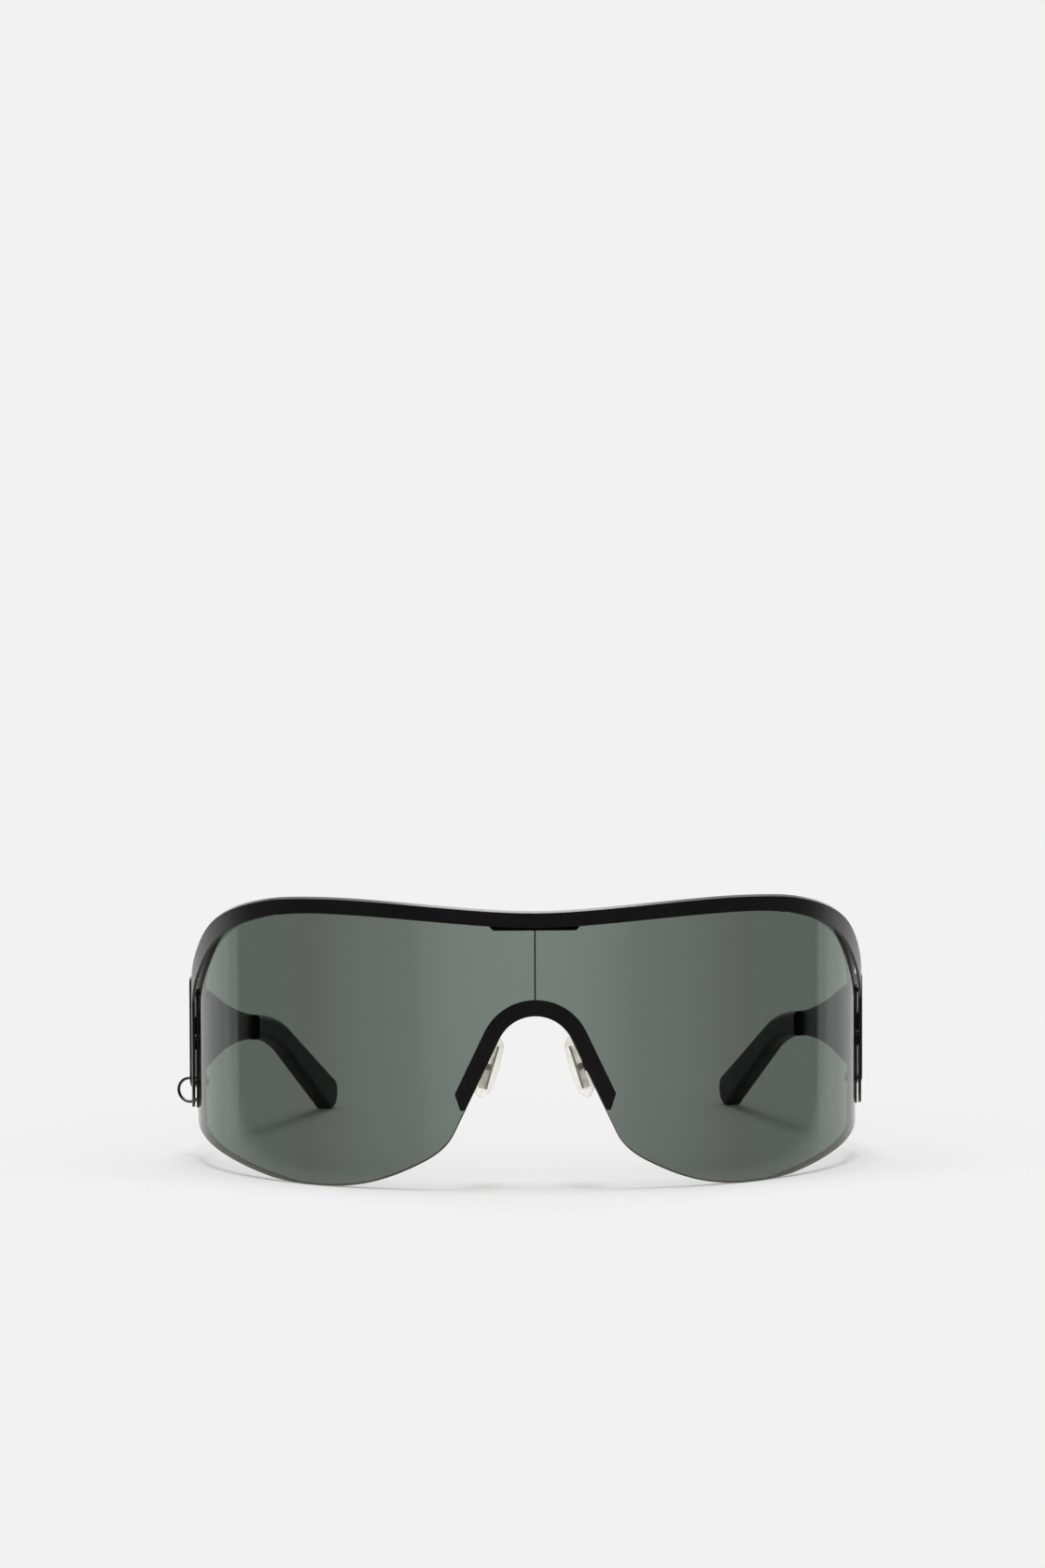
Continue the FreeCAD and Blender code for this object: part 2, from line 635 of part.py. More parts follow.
def make_centre_clip():
    """A plate behind the seam with chamfered lower corners, and its two screws from behind."""
    plan = plan_slab("clip_plan", lens_plan.band(clip_back, lens_back, -S.front_angle, S.front_angle))
    half = S.clip_half_width
    inner = half - S.clip_chamfer
    low = brow_low - S.bar_height - S.clip_show
    high = brow_low - S.clip_top_inset
    corner = low + S.clip_chamfer
    edges = lines(vec(-inner, low), vec(inner, low), vec(half, corner), vec(half, high), vec(-half, high),
                  vec(-half, corner), vec(-inner, low))
    plate = common("clip_plate", plan, wide_slab("clip_front", edges, FRONT_PLANE))
    holes = []
    screws = []
    for name, at, axis in clip_places():
        holes.append(fastener_hole("clip_hole_" + name, at, axis, clip_back - S.overrun,
                                   lens_back + S.overrun, "Sizes.shank_radius"))
        screws.append(pinned("clip_screw_" + name, at, axis, clip_back - S.seat_gap,
                             S.seat_gap + S.thread_depth, "Sizes.shank_radius", "Sizes.screw_head_radius"))
    keep(cut("centre_clip", plate, holes), "centre_clip")
    keep(group("centre_clip_screws", screws), "centre_clip_screws")


def make_nose_arch():
    """The band round the nose cut-out, and its rivets from behind the lens."""
    inner = S.nose_radius + S.arch_inset
    outer = inner + S.arch_width
    inner_arc, inner_side = nose_arc(inner)
    outer_arc, outer_side = nose_arc(outer)
    tip = leg_point(inner, S.arch_tip_height)
    end = leg_point(outer, S.arch_end_height)
    leg = lines(inner_side, tip, tip + vec(S.arch_tip_width, 0), end, outer_side)
    front = wide_slab("arch_front", [inner_arc, outer_arc] + leg + mirrored(leg), FRONT_PLANE)
    plan = plan_slab("arch_plan", lens_plan.band(S.seat_gap, S.seat_gap + S.arch_thickness, -S.front_angle,
                                                 S.front_angle))
    stop = S.seat_gap + S.thread_depth
    holes = []
    rivets = []
    for name, at, axis in arch_places():
        start = foot_back if name.endswith("high") else lens_back
        holes.append(fastener_hole("arch_hole_" + name, at, axis, lens_back, stop + S.hole_gap,
                                   "Sizes.shank_radius"))
        rivets.append(pinned("arch_rivet_" + name, at, axis, start - S.seat_gap, stop, "Sizes.shank_radius",
                             "Sizes.screw_head_radius"))
    keep(cut("nose_arch", common("arch_band", plan, front), holes), "nose_arch")
    keep(group("arch_rivets", rivets), "arch_rivets")


def make_side_mounts():
    """Strips along the lens's side edges, the posts that hold the bar off them, and their screws."""
    holes = []
    posts = []
    screws = []
    face = S.seat_gap + S.strip_thickness
    gap = post_gap()
    for name, at, axis in post_places():
        past = gap + S.overrun
        holes.append(fastener_hole("strip_hole_" + name, at, axis, lens_back, past, "Sizes.shank_radius"))
        post = rod("post_body_" + name, at, axis, face + S.seat_gap, gap - 2 * S.seat_gap,
                   "Sizes.post_radius")
        bore = fastener_hole("post_bore_" + name, at, axis, lens_back, past, "Sizes.shank_radius")
        posts.append(cut("post_" + name, post, [bore]))
        screws.append(pinned("side_screw_" + name, at, axis, lens_back, gap + S.thread_depth,
                             "Sizes.shank_radius", "Sizes.screw_head_radius"))
    half = S.strip_width / 2
    foot = vec(lens_end - half, S.drop_end_height)
    edges = [Part.Arc(foot + vec(half, half), foot, foot + vec(-half, half))]
    edges += lines(foot + vec(half, half), vec(lens_end, strip_high),
                   vec(lens_end - S.strip_width, strip_high), foot + vec(-half, half))
    side = wide_slab("strip_side", edges, SIDE_PLANE)
    for name, sign in SIDES.items():
        start, stop = sorted((sign * S.corner_angle, sign * S.end_angle))
        plan = plan_slab("strip_plan_" + name, lens_plan.band(S.seat_gap, face, start, stop, S.overrun))
        strip = common("strip_band_" + name, plan, side)
        own = [hole for hole in holes if name in hole.Name]
        keep(cut("side_strip_" + name, strip, own), "side_strip_" + name)
    keep(group("side_posts", posts), "side_posts")
    keep(group("side_screws", screws), "side_screws")


def make_hinges():
    """Three-knuckle hinges: a front leaf on the bar, a leaf on the temple and a screw as the pin."""
    base = S.hinge_height
    split = S.middle_half_height + S.knuckle_gap
    pins = []
    for name, sign in SIDES.items():
        frame = bar_frames[name]
        centre = frame.Base
        near, far = outward(sign, leaf_inside, leaf_face)
        reach = S.knuckle_half_height
        parts = [block("front_plate_" + name, frame, vec(leaf_front, near, base - reach),
                       vec(leaf_rear, far, base + reach))]
        for level, low, high in (("lower", -reach, -split), ("upper", split, reach)):
            parts.append(block("front_arm_%s_%s" % (level, name), frame, vec(leaf_rear, near, base + low),
                               vec(0, far, base + high)))
            parts.append(rod("front_knuckle_%s_%s" % (level, name), centre, UP, base + low, base + high,
                             "Sizes.knuckle_radius"))
        bore = rod("front_bore_" + name, centre, UP, base - reach - S.overrun, base + reach + S.overrun,
                   "Sizes.pin_radius + Sizes.running_gap")
        leaf = cut("hinge_front_leaf_" + name, fused("front_leaf_blank_" + name, parts),
                   [bore] + front_rivets[name][1])
        keep(leaf, "hinge_front_leaf_" + name)
        pins.append(pinned("hinge_screw_" + name, centre, vec(0, 0, -1), -base - reach - S.seat_gap,
                           reach - base, "Sizes.pin_radius", "Sizes.pin_head_radius"))

        frame = temple_frames[name]
        plate = block("temple_plate_" + name, frame,
                      vec(S.temple_leaf_start, near, base - S.temple_leaf_half_height),
                      vec(S.temple_leaf_length, far, base + S.temple_leaf_half_height))
        tongue = block("temple_tongue_" + name, frame, vec(0, near, base - S.middle_half_height),
                       vec(S.temple_leaf_start, far, base + S.middle_half_height))
        knuckle = rod("temple_knuckle_" + name, centre, UP, base - S.middle_half_height,
                      base + S.middle_half_height, "Sizes.knuckle_radius")
        bore = rod("temple_bore_" + name, centre, UP, base - reach, base + reach,
                   "Sizes.pin_radius + Sizes.running_gap")
        leaf = cut("hinge_temple_leaf_" + name, fused("temple_leaf_blank_" + name, [plate, tongue, knuckle]),
                   [bore] + temple_rivets[name][1])
        keep(leaf, "hinge_temple_leaf_" + name)
        keep(group("temple_rivets_" + name, temple_rivets[name][0]), "temple_rivets_" + name)
    keep(group("front_rivets", [rivet for name in SIDES for rivet in front_rivets[name][0]]), "front_rivets")
    keep(group("hinge_screws", pins), "hinge_screws")


def body_sketch(body, role, name, edges):
    """A sketch on one of a body's own planes."""
    sketch = body.newObject("Sketcher::SketchObject", name)
    plane = [item for item in body.Origin.OriginFeatures if item.Role == role][0]
    sketch.AttachmentSupport = (plane, [""])
    sketch.MapMode = "FlatFace"
    for edge in edges:
        sketch.addGeometry(edge, False)
    return sketch


def body_pad(body, name, sketch, length):
    pad = body.newObject("PartDesign::Pad", name)
    pad.Profile = sketch
    pad.SideType = "Symmetric"
    return bind(pad, Length=length)


def body_pocket(body, name, sketch, length):
    pocket = body.newObject("PartDesign::Pocket", name)
    pocket.Profile = sketch
    pocket.SideType = "Symmetric"
    return bind(pocket, Length=length)


def round_faces(body, name, base, direction, radius, square=None):
    """Round the edges of the two faces that look along a direction, except an edge that stays square."""
    doc.recompute()
    names = []
    for face in base.Shape.Faces:
        if face.Surface.TypeId != "Part::GeomPlane":
            continue
        if abs(abs(face.normalAt(0, 0).dot(direction)) - 1) > 1e-6:
            continue
        for edge in face.Edges:
            if square is not None and abs(edge.CenterOfMass.x - square) < S.hole_gap:
                continue
            count = [i for i, e in enumerate(base.Shape.Edges, start=1) if e.isSame(edge)][0]
            names.append("Edge%d" % count)
    fillet = body.newObject("PartDesign::Fillet", name)
    fillet.Base = (base, names)
    return bind(fillet, Radius=radius)


def core_ribbon(half_width, lead, extra):
    """Outline of the core along the tip, from lead in front of the neck to extra past its end."""
    route = [vec(S.neck_length, S.neck_height)]
    route += [vec(S.neck_length + along * S.tip_length, up * S.neck_height) for along, up in CORE_SHARES]
    first = (route[1] - route[0]).normalize()
    heading = (route[2] - route[1]).normalize()
    route[0] = route[0] - first * lead
    route[2] = route[2] + heading * extra
    normals = [vec(-d.y, d.x) for d in (first, heading)]
    mitre = (normals[0] + normals[1]).normalize()
    offsets = [vec(0, 1) / normals[0].y, mitre / mitre.dot(normals[0]), normals[1]]
    upper = [p + d * half_width for p, d in zip(route, offsets)]
    lower = [p - d * half_width for p, d in zip(route, offsets)]
    return upper, lower


def make_temple(name, sign):
    """The temple: a sheet that narrows from the hinge to the neck and runs on as the tip's core."""
    half = S.neck_width / 2
    front = -S.temple_lap
    span = S.neck_length - front
    neck_top = vec(S.neck_length, S.neck_height + half)
    neck_low = vec(S.neck_length, S.neck_height - half)
    corner = vec(front + S.temple_corner, S.temple_top)
    upper = [corner] + [vec(front + along * span, neck_top.y + up * (S.temple_top - neck_top.y))
                        for along, up in TEMPLE_UPPER_SHARES]
    lug = vec(front + S.lug_radius, S.lug_height)
    heel = lug + vec(S.lug_radius, 0)
    lower = [heel] + [vec(front + along * span, neck_low.y - down * (neck_low.y - heel.y))
                      for along, down in TEMPLE_LOWER_SHARES]
    core_top, core_low = core_ribbon(S.core_width / 2, 0.0, 0.0)
    round_share = 1 - math.sqrt(0.5)
    corner_mid = vec(front + round_share * S.temple_corner, S.temple_top - round_share * S.temple_corner)
    corner_low = vec(front, S.temple_top - S.temple_corner)
    toe = lug - vec(S.lug_radius, 0)
    edges = [smooth(upper), smooth(lower), Part.Arc(corner_low, corner_mid, corner),
             Part.Arc(toe, lug - vec(0, S.lug_radius), heel)]
    edges += lines(corner_low, toe) + lines(neck_top, *core_top, *reversed(core_low), neck_low)
    body = doc.addObject("PartDesign::Body", "temple_body_" + name)
    body_pad(body, "temple_sheet_" + name, body_sketch(body, "XZ_Plane", "temple_outline_" + name, edges),
             "Sizes.temple_thickness")
    if name == "right":
        hole = Part.Circle(lug, UP, S.ring_hole_radius)
        body_pocket(body, "ring_hole", body_sketch(body, "XZ_Plane", "ring_hole_outline", [hole]),
                    "Sizes.temple_thickness + 2 * Sizes.overrun")
    body.Placement = plate_frame(name, sign)
    keep(cut("drilled_temple_" + name, body, temple_rivets[name][1]), "temple_" + name)


def plate_frame(name, sign):
    """The temple's frame moved out to the middle of its sheet."""
    out = -sign * (S.hinge_inset + S.temple_thickness / 2)
    return temple_frames[name].multiply(Placement(vec(0, out), Rotation()))


def make_temple_tip(name, sign):
    """The acetate tip: it bends down, widens and stands on the floor, with a slot for the core."""
    start = S.neck_length + S.core_gap
    half = S.neck_width / 2

    def places(shares):
        return [vec(S.neck_length + along * S.tip_length, up * S.neck_height) for along, up in shares]

    upper = [vec(start, S.neck_height + half)] + places(TIP_UPPER_SHARES)
    end = places(TIP_END_SHARES)
    lower = places(TIP_LOWER_SHARES) + [vec(start, S.neck_height - half)]
    edges = [smooth(upper, vec(S.neck_length, -S.neck_width / 2)), smooth(end), smooth(lower)]
    edges += lines(upper[-1], end[0]) + lines(end[-1], lower[0]) + lines(lower[-1], upper[0])
    body = doc.addObject("PartDesign::Body", "tip_body_" + name)
    pad = body_pad(body, "tip_block_" + name, body_sketch(body, "XZ_Plane", "tip_outline_" + name, edges),
                   "Sizes.tip_thickness")
    round_faces(body, "tip_rounding_" + name, pad, vec(0, 1), "Sizes.tip_round", start)
    slot_top, slot_low = core_ribbon(S.core_width / 2 + S.core_gap, S.overrun, S.core_gap)
    slot = lines(*slot_top, *reversed(slot_low), slot_top[0])
    body_pocket(body, "tip_slot_" + name, body_sketch(body, "XZ_Plane", "tip_slot_outline_" + name, slot),
                "Sizes.temple_thickness + 2 * Sizes.core_gap")
    body.Placement = plate_frame(name, sign)
    keep(body, "temple_tip_" + name)


def make_charm_ring():
    """A wire ring that hangs through the right temple's lower front corner."""
    ring = doc.addObject("Part::Torus", "charm_ring")
    bind(ring, Radius1="Sizes.ring_radius", Radius2="Sizes.ring_wire_radius")
    hole = vec(S.lug_radius - S.temple_lap, 0, S.lug_height)
    lean = math.radians(S.ring_lean)
    middle = hole + vec(0, math.sin(lean), -math.cos(lean)) * S.ring_radius
    hang = Placement(middle, Rotation(UP, vec(1, 0)))
    ring.Placement = plate_frame("right", SIDES["right"]).multiply(hang)
    keep(ring, "charm_ring")


def pad_frame(sign):
    """Frame in the middle of a pad: X outwards, Y to the pad's rear edge and Z along the pad."""
    splay = math.radians(S.pad_splay)
    tilt = math.radians(S.pad_tilt)
    rear = vec(sign * math.sin(splay), math.cos(splay))
    level = vec(sign * math.cos(splay), -math.sin(splay))
    along = UP * math.cos(tilt) - level * math.sin(tilt)
    out = level * math.cos(tilt) + UP * math.sin(tilt)
    across = along.cross(out)
    middle = vec(sign * S.pad_across, S.pad_depth, S.pad_height)
    return Placement(middle, Rotation(out, across, along, "ZXY"))


def insert_blank(name, frame, gap):
    """The pad's metal insert and its lug, grown by a gap."""
    half = vec(S.insert_thickness / 2 + gap, S.insert_width / 2 + gap, S.insert_length / 2 + gap)
    plate = block("insert_plate_" + name, frame, half * -1, half)
    side = S.lug_thickness / 2 + gap
    rise_by = S.lug_end_radius + gap
    lug = block("insert_lug_" + name, frame, vec(0, -side, -rise_by), vec(S.box_axis, side, rise_by))
    across = frame.Rotation.multVec(vec(0, 1))
    end = rod("insert_end_" + name, frame.multVec(vec(S.box_axis, 0)), across, -side, side,
              "Sizes.lug_end_radius" + (" + Sizes.core_gap" if gap else ""))
    return fused("insert_blank_" + name, [plate, lug, end])


def make_nose_pad(name, sign):
    """A clear pad with its insert, the pad arm with its box and foot, and the pad's screw."""
    frame = pad_frame(sign)
    across = frame.Rotation.multVec(vec(0, 1))
    pivot = frame.multVec(vec(S.box_axis, 0))
    half = S.pad_width / 2
    straight = S.pad_length / 2 - half
    edges = [Part.Arc(vec(half, straight), vec(0, S.pad_length / 2), vec(-half, straight)),
             Part.Arc(vec(-half, -straight), vec(0, -S.pad_length / 2), vec(half, -straight))]
    edges += lines(vec(half, straight), vec(half, -straight))
    edges += lines(vec(-half, straight), vec(-half, -straight))
    body = doc.addObject("PartDesign::Body", "pad_body_" + name)
    pad = body_pad(body, "pad_block_" + name, body_sketch(body, "YZ_Plane", "pad_outline_" + name, edges),
                   "Sizes.pad_thickness")
    round_faces(body, "pad_rounding_" + name, pad, vec(1, 0), "Sizes.pad_round")
    body.Placement = frame
    pocket = insert_blank("slot_" + name, frame, S.core_gap)
    keep(cut("nose_pad_" + name, body, [pocket]), "nose_pad_" + name)

    bore = rod("insert_bore_" + name, pivot, across, -S.box_half_width, S.box_half_width,
               "Sizes.pad_screw_radius + Sizes.running_gap")
    keep(cut("pad_insert_" + name, insert_blank("metal_" + name, frame, 0.0), [bore]), "pad_insert_" + name)

    box = block("pad_box_" + name, frame, vec(S.box_start, -S.box_half_width, -S.box_half_length),
                vec(S.box_end, S.box_half_width, S.box_half_length))
    play = S.lug_thickness / 2 + S.lug_play
    past = S.box_half_length + S.overrun
    slot = block("pad_box_slot_" + name, frame, vec(S.box_start - S.overrun, -play, -past),
                 vec(S.box_end - S.box_wall, play, past))
    aside = S.box_half_width + S.overrun
    hole = rod("pad_box_hole_" + name, pivot, across, -aside, aside,
               "Sizes.pad_screw_radius + Sizes.running_gap")
    foot, rivet_hole, wire = make_arm(name, sign, frame)
    blank = fused("pad_arm_blank_" + name, [box] + foot + [wire])
    arm = cut("pad_arm_" + name, blank, [slot, hole, rivet_hole])
    keep(arm, "pad_arm_" + name)
    return pinned("pad_screw_" + name, pivot, across, -S.box_half_width - S.seat_gap, S.box_half_width,
                  "Sizes.pad_screw_radius", "Sizes.pad_screw_head_radius")


def make_arm(name, sign, frame):
    """The arm's foot behind the lens, and its wire to the back of the pad's box."""
    middle = S.nose_radius + S.arch_inset + S.arch_width / 2
    rivet = leg_point(middle, S.arch_rivet_high)
    lean = math.radians(S.leg_angle)
    low = rivet + vec(math.sin(lean), -math.cos(lean)) * S.foot_length
    turn = sign * lens_plan.turn_at_width(rivet.x)
    axis = lens_plan.normal(turn)
    places = []
    for spot in (rivet, low):
        slide = lens_plan.along(turn) * (spot.x - rivet.x)
        places.append(lens_plan.point(turn) + slide + UP * spot.y)
    pads = [rod("foot_end_%d_%s" % (i, name), at, axis, foot_back, lens_back - S.seat_gap,
                "Sizes.foot_half_width") for i, at in enumerate(places)]
    run = places[1] - places[0]
    length = run.Length
    across = axis.cross(run).normalize()
    web_frame = Placement(places[0], Rotation(run, across, axis, "ZXY"))
    web = block("foot_web_" + name, web_frame, vec(0, -S.foot_half_width, foot_back),
                vec(length, S.foot_half_width, lens_back - S.seat_gap))
    hole = fastener_hole("foot_hole_" + name, places[0], axis, foot_back - S.overrun, lens_back + S.overrun,
                         "Sizes.shank_radius")
    start = places[1] + axis * lens_back
    bend = places[1] + axis * (foot_back - S.arm_run)
    end = frame.multVec(vec(S.box_end - S.box_wall / 2, 0))
    route = doc.addObject("Part::Feature", "arm_route_" + name)
    route.Shape = bent_wire(start, bend, end, S.arm_bend_radius)
    section = outline("arm_section_" + name, [Part.Circle(vec(0, 0), UP, S.arm_radius)],
                      Placement(start, Rotation(UP, axis * -1)))
    wire = doc.addObject("Part::Sweep", "arm_wire_" + name)
    wire.Sections = [section]
    wire.Spine = (route, ["Edge%d" % (i + 1) for i in range(len(route.Shape.Edges))])
    wire.Solid = True
    return pads + [web], hole, wire


def bent_wire(start, corner, end, radius):
    """Two straight runs joined by a tangent arc."""
    before = (start - corner).normalize()
    after = (end - corner).normalize()
    half = before.getAngle(after) / 2
    trim = radius / math.tan(half)
    first = corner + before * trim
    last = corner + after * trim
    inner = corner + (before + after).normalize() * (radius / math.sin(half) - radius)
    edges = [Part.LineSegment(start, first), Part.Arc(first, inner, last), Part.LineSegment(last, end)]
    return Part.Wire([edge.toShape() for edge in edges])


make_brow_bar()
make_lenses()
make_centre_clip()
make_nose_arch()
make_side_mounts()
make_hinges()
pad_screws = [make_nose_pad(name, sign) for name, sign in SIDES.items()]
keep(group("pad_screws", pad_screws), "pad_screws")
for name, sign in SIDES.items():
    make_temple(name, sign)
    make_temple_tip(name, sign)
make_charm_ring()

doc.recompute()
for item in doc.Objects:
    if "Invalid" in item.State or "Error" in item.State:
        raise RuntimeError("%s did not build" % item.Name)
for item in pieces:
    if item.Shape.isNull() or not item.Shape.isValid():
        raise RuntimeError("%s has no valid shape" % item.Label)
os.makedirs("parts", exist_ok=True)
for item in pieces:
    item.Shape.exportStep("parts/%s.step" % item.Label)
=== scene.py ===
"""Shield sunglasses: finishes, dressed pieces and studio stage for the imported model."""

import json
import math
from bisect import bisect

import bmesh
import bpy
from mathutils import Matrix, Vector
from mathutils.geometry import intersect_point_line

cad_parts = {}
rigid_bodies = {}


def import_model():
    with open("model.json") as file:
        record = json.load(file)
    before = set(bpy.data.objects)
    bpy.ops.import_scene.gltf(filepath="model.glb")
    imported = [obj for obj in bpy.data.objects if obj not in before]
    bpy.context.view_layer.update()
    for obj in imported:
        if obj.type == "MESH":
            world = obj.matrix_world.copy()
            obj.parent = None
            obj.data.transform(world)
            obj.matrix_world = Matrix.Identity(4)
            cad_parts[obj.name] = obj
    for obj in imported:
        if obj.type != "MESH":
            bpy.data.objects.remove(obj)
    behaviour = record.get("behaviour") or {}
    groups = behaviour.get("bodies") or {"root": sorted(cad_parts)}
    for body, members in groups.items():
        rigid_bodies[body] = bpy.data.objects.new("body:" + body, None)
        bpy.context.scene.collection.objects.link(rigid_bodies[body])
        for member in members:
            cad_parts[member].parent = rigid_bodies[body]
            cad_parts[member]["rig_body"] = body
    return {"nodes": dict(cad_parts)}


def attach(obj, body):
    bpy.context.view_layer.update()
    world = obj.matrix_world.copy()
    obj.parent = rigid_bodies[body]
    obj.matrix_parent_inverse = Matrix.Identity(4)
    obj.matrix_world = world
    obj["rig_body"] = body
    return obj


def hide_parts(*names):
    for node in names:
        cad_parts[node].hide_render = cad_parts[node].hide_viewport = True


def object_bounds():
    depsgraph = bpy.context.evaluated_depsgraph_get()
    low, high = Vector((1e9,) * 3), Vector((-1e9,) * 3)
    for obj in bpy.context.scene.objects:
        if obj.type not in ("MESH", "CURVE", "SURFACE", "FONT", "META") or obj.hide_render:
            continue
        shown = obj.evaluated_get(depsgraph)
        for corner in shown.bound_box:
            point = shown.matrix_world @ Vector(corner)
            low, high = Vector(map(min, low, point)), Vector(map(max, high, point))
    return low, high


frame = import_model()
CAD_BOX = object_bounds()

bl_info = {
    "name": "Shield sunglasses",
    "version": (1, 0, 0),
    "blender": (4, 5, 0),
    "location": "View3D > Sidebar > Sunglasses",
    "description": "Dresses the shield sunglasses and sets up their studio",
    "category": "Object",
}

SIDES = ("right", "left")
MM = 0.001
# The middle of the head, which the front wraps round, lies this far behind the lens.
HEAD_MIDDLE = 60 * MM
# Points of a copied mesh that lie nearer than this are joined.
JOIN_REACH = 0.01 * MM
# The facets of a curved face meet at less than this.
SMOOTH_ANGLE = math.radians(30)
# How far a normal has to point outwards, as a cosine, to lie on the bar's outer face, on a lens's
# front or back face, and so squarely there that the CAD's own normal can be taken over.
BAR_FACE = 0.7
LENS_FACE = 0.5
SQUARE_FACE = 0.9
# The bar's upper edges are sharper than this, and their rim points this far up and back.
TOP_EDGE_ANGLE = math.radians(45)
TOP_RIM = 0.5
# The bar's chamfer grows to its full size over this height from its low ends.
CHAMFER_RISE = 10 * MM
# The halves' seam faces lie this near the centre plane in the CAD, and this far apart when dressed.
SEAM_REACH = 0.2 * MM
SEAM_GAP = 0.02 * MM
# Angles to the normal, in degrees, at which the lens's tints are given beside the one straight on.
NEAR_ANGLE = 15
TURNED_ANGLE = 37
OBLIQUE_ANGLE = 84
# The stripes of a wave texture lie this far apart at scale 1.
WAVE_PITCH = math.pi / 10
# The studio board: its reflectance, size and middle, and the wedge that its front is cut to. The
# wedge's slope is that of its sides, and the board fades in between the two distances.
BOARD_WHITE = 0.9
BOARD_SIZE = 2.4
BOARD_MIDDLE = 0.6
WEDGE_SLOPE = 0.577
WEDGE_FADE = (-0.645, -0.61)
# Bands of a reflection's heading, as the cosine to straight back or straight up: where the dim
# studio gives way to the backdrop, where the backdrop brightens, and where the softbox begins.
BACKDROP_START = (0.32, 0.36)
BACKDROP_RISE = (0.42, 0.8)
BACKDROP_LEVELS = (0.6, 2.4)
SOFTBOX_START = (0.55, 0.85)
# The share of the lamp's own highlight that is kept, as reflections show the wider softbox.
LAMP_HIGHLIGHT = 0.2
FRAME_NODES = (
    "centre_clip",
    "nose_arch",
    "side_strip_left",
    "side_strip_right",
    "temple_left",
    "temple_right",
)
FITTING_NODES = (
    "arch_rivets",
    "centre_clip_screws",
    "front_rivets",
    "hinge_front_leaf_left",
    "hinge_front_leaf_right",
    "hinge_screws",
    "hinge_temple_leaf_left",
    "hinge_temple_leaf_right",
    "pad_arm_left",
    "pad_arm_right",
    "pad_screws",
    "side_posts",
    "side_screws",
    "temple_rivets_left",
    "temple_rivets_right",
)


def linear(code):
    """An sRGB hex colour as linear red, green and blue."""
    parts = [int(code[i : i + 2], 16) / 255 for i in (1, 3, 5)]
    return [p / 12.92 if p <= 0.04045 else ((p + 0.055) / 1.055) ** 2.4 for p in parts]


def colour_property(name, description, code):
    return bpy.props.FloatVectorProperty(
        name=name,
        description=description,
        default=linear(code),
        min=0,
        max=1,
        size=3,
        subtype="COLOR",
    )


def factor_property(name, description, default):
    return bpy.props.FloatProperty(
        name=name,
        description=description,
        default=default,
        min=0,
        max=1,
        subtype="FACTOR",
    )


def length_property(name, description, default, least=0):
    return bpy.props.FloatProperty(
        name=name,
        description=description,
        default=default,
        min=least,
        unit="LENGTH",
    )


def angle_property(name, description, degrees):
    return bpy.props.FloatProperty(
        name=name,
        description=description,
        default=math.radians(degrees),
        subtype="ANGLE",
    )


def place_property(name, description, default):
    return bpy.props.FloatVectorProperty(
        name=name,
        description=description,
        default=default,
        subtype="XYZ",
        unit="LENGTH",
    )


def node(tree, kind, links=None, **settings):
    """Adds a node. Its links are inputs, each a value or another node's output."""
    made = tree.nodes.new(kind)
    for name, value in settings.items():
        setattr(made, name, value)
    for socket, value in (links or {}).items():
        if isinstance(value, bpy.types.NodeSocket):
            tree.links.new(value, made.inputs[socket])
        else:
            made.inputs[socket].default_value = value
    return made


def maths(tree, operation, *inputs):
    links = dict(enumerate(inputs))
    return node(tree, "ShaderNodeMath", links, operation=operation).outputs["Value"]


def noise(tree, place, size, detail, roughness=0.5):
    """Soft noise with features of about a given size."""
    links = {"Vector": place, "Scale": 1 / size, "Detail": detail, "Roughness": roughness}
    return node(tree, "ShaderNodeTexNoise", links).outputs["Fac"]


def spread(tree, value, source=(0, 1), target=(0, 1), **settings):
    """Maps a value from one range onto another, held at its ends."""
    limits = dict(zip(("From Min", "From Max", "To Min", "To Max"), (*source, *target)))
    made = node(tree, "ShaderNodeMapRange", {"Value": value, **limits}, **settings)
    return made.outputs["Result"]


def ramp(tree, factor, low, high):
    """A colour ramp with two stops, each a position and a colour."""
    made = node(tree, "ShaderNodeValToRGB", {"Fac": factor})
    for stop, (position, colour) in zip(made.color_ramp.elements, (low, high)):
        stop.position = position
        stop.color = colour
    return made


def blend(tree, factor, low, high):
    """A level between two others."""
    links = {"Factor": factor, "A": low, "B": high}
    return node(tree, "ShaderNodeMix", links, data_type="FLOAT").outputs["Result"]


def mixed(tree, share, first, second):
    """The first shader with a share of the second in it."""
    links = {0: share, 1: first, 2: second}
    return node(tree, "ShaderNodeMixShader", links).outputs["Shader"]


def blank_material(name):
    material = bpy.data.materials.new(name)
    material.use_nodes = True
    material.node_tree.nodes.clear()
    return material, material.node_tree


def own_place(tree):
    """Places on a piece in its own coordinates."""
    return node(tree, "ShaderNodeTexCoord").outputs["Object"]


def rgba(colour):
    return (*colour, 1.0)


def tone(colour, factor):
    """A lighter or darker shade of a linear colour."""
    return rgba([min(1.0, c * factor) for c in colour])


def facing_at(degrees):
    """What a layer weight's facing output gives for a face seen at an angle to its normal."""
    return 1 - math.cos(math.radians(degrees))


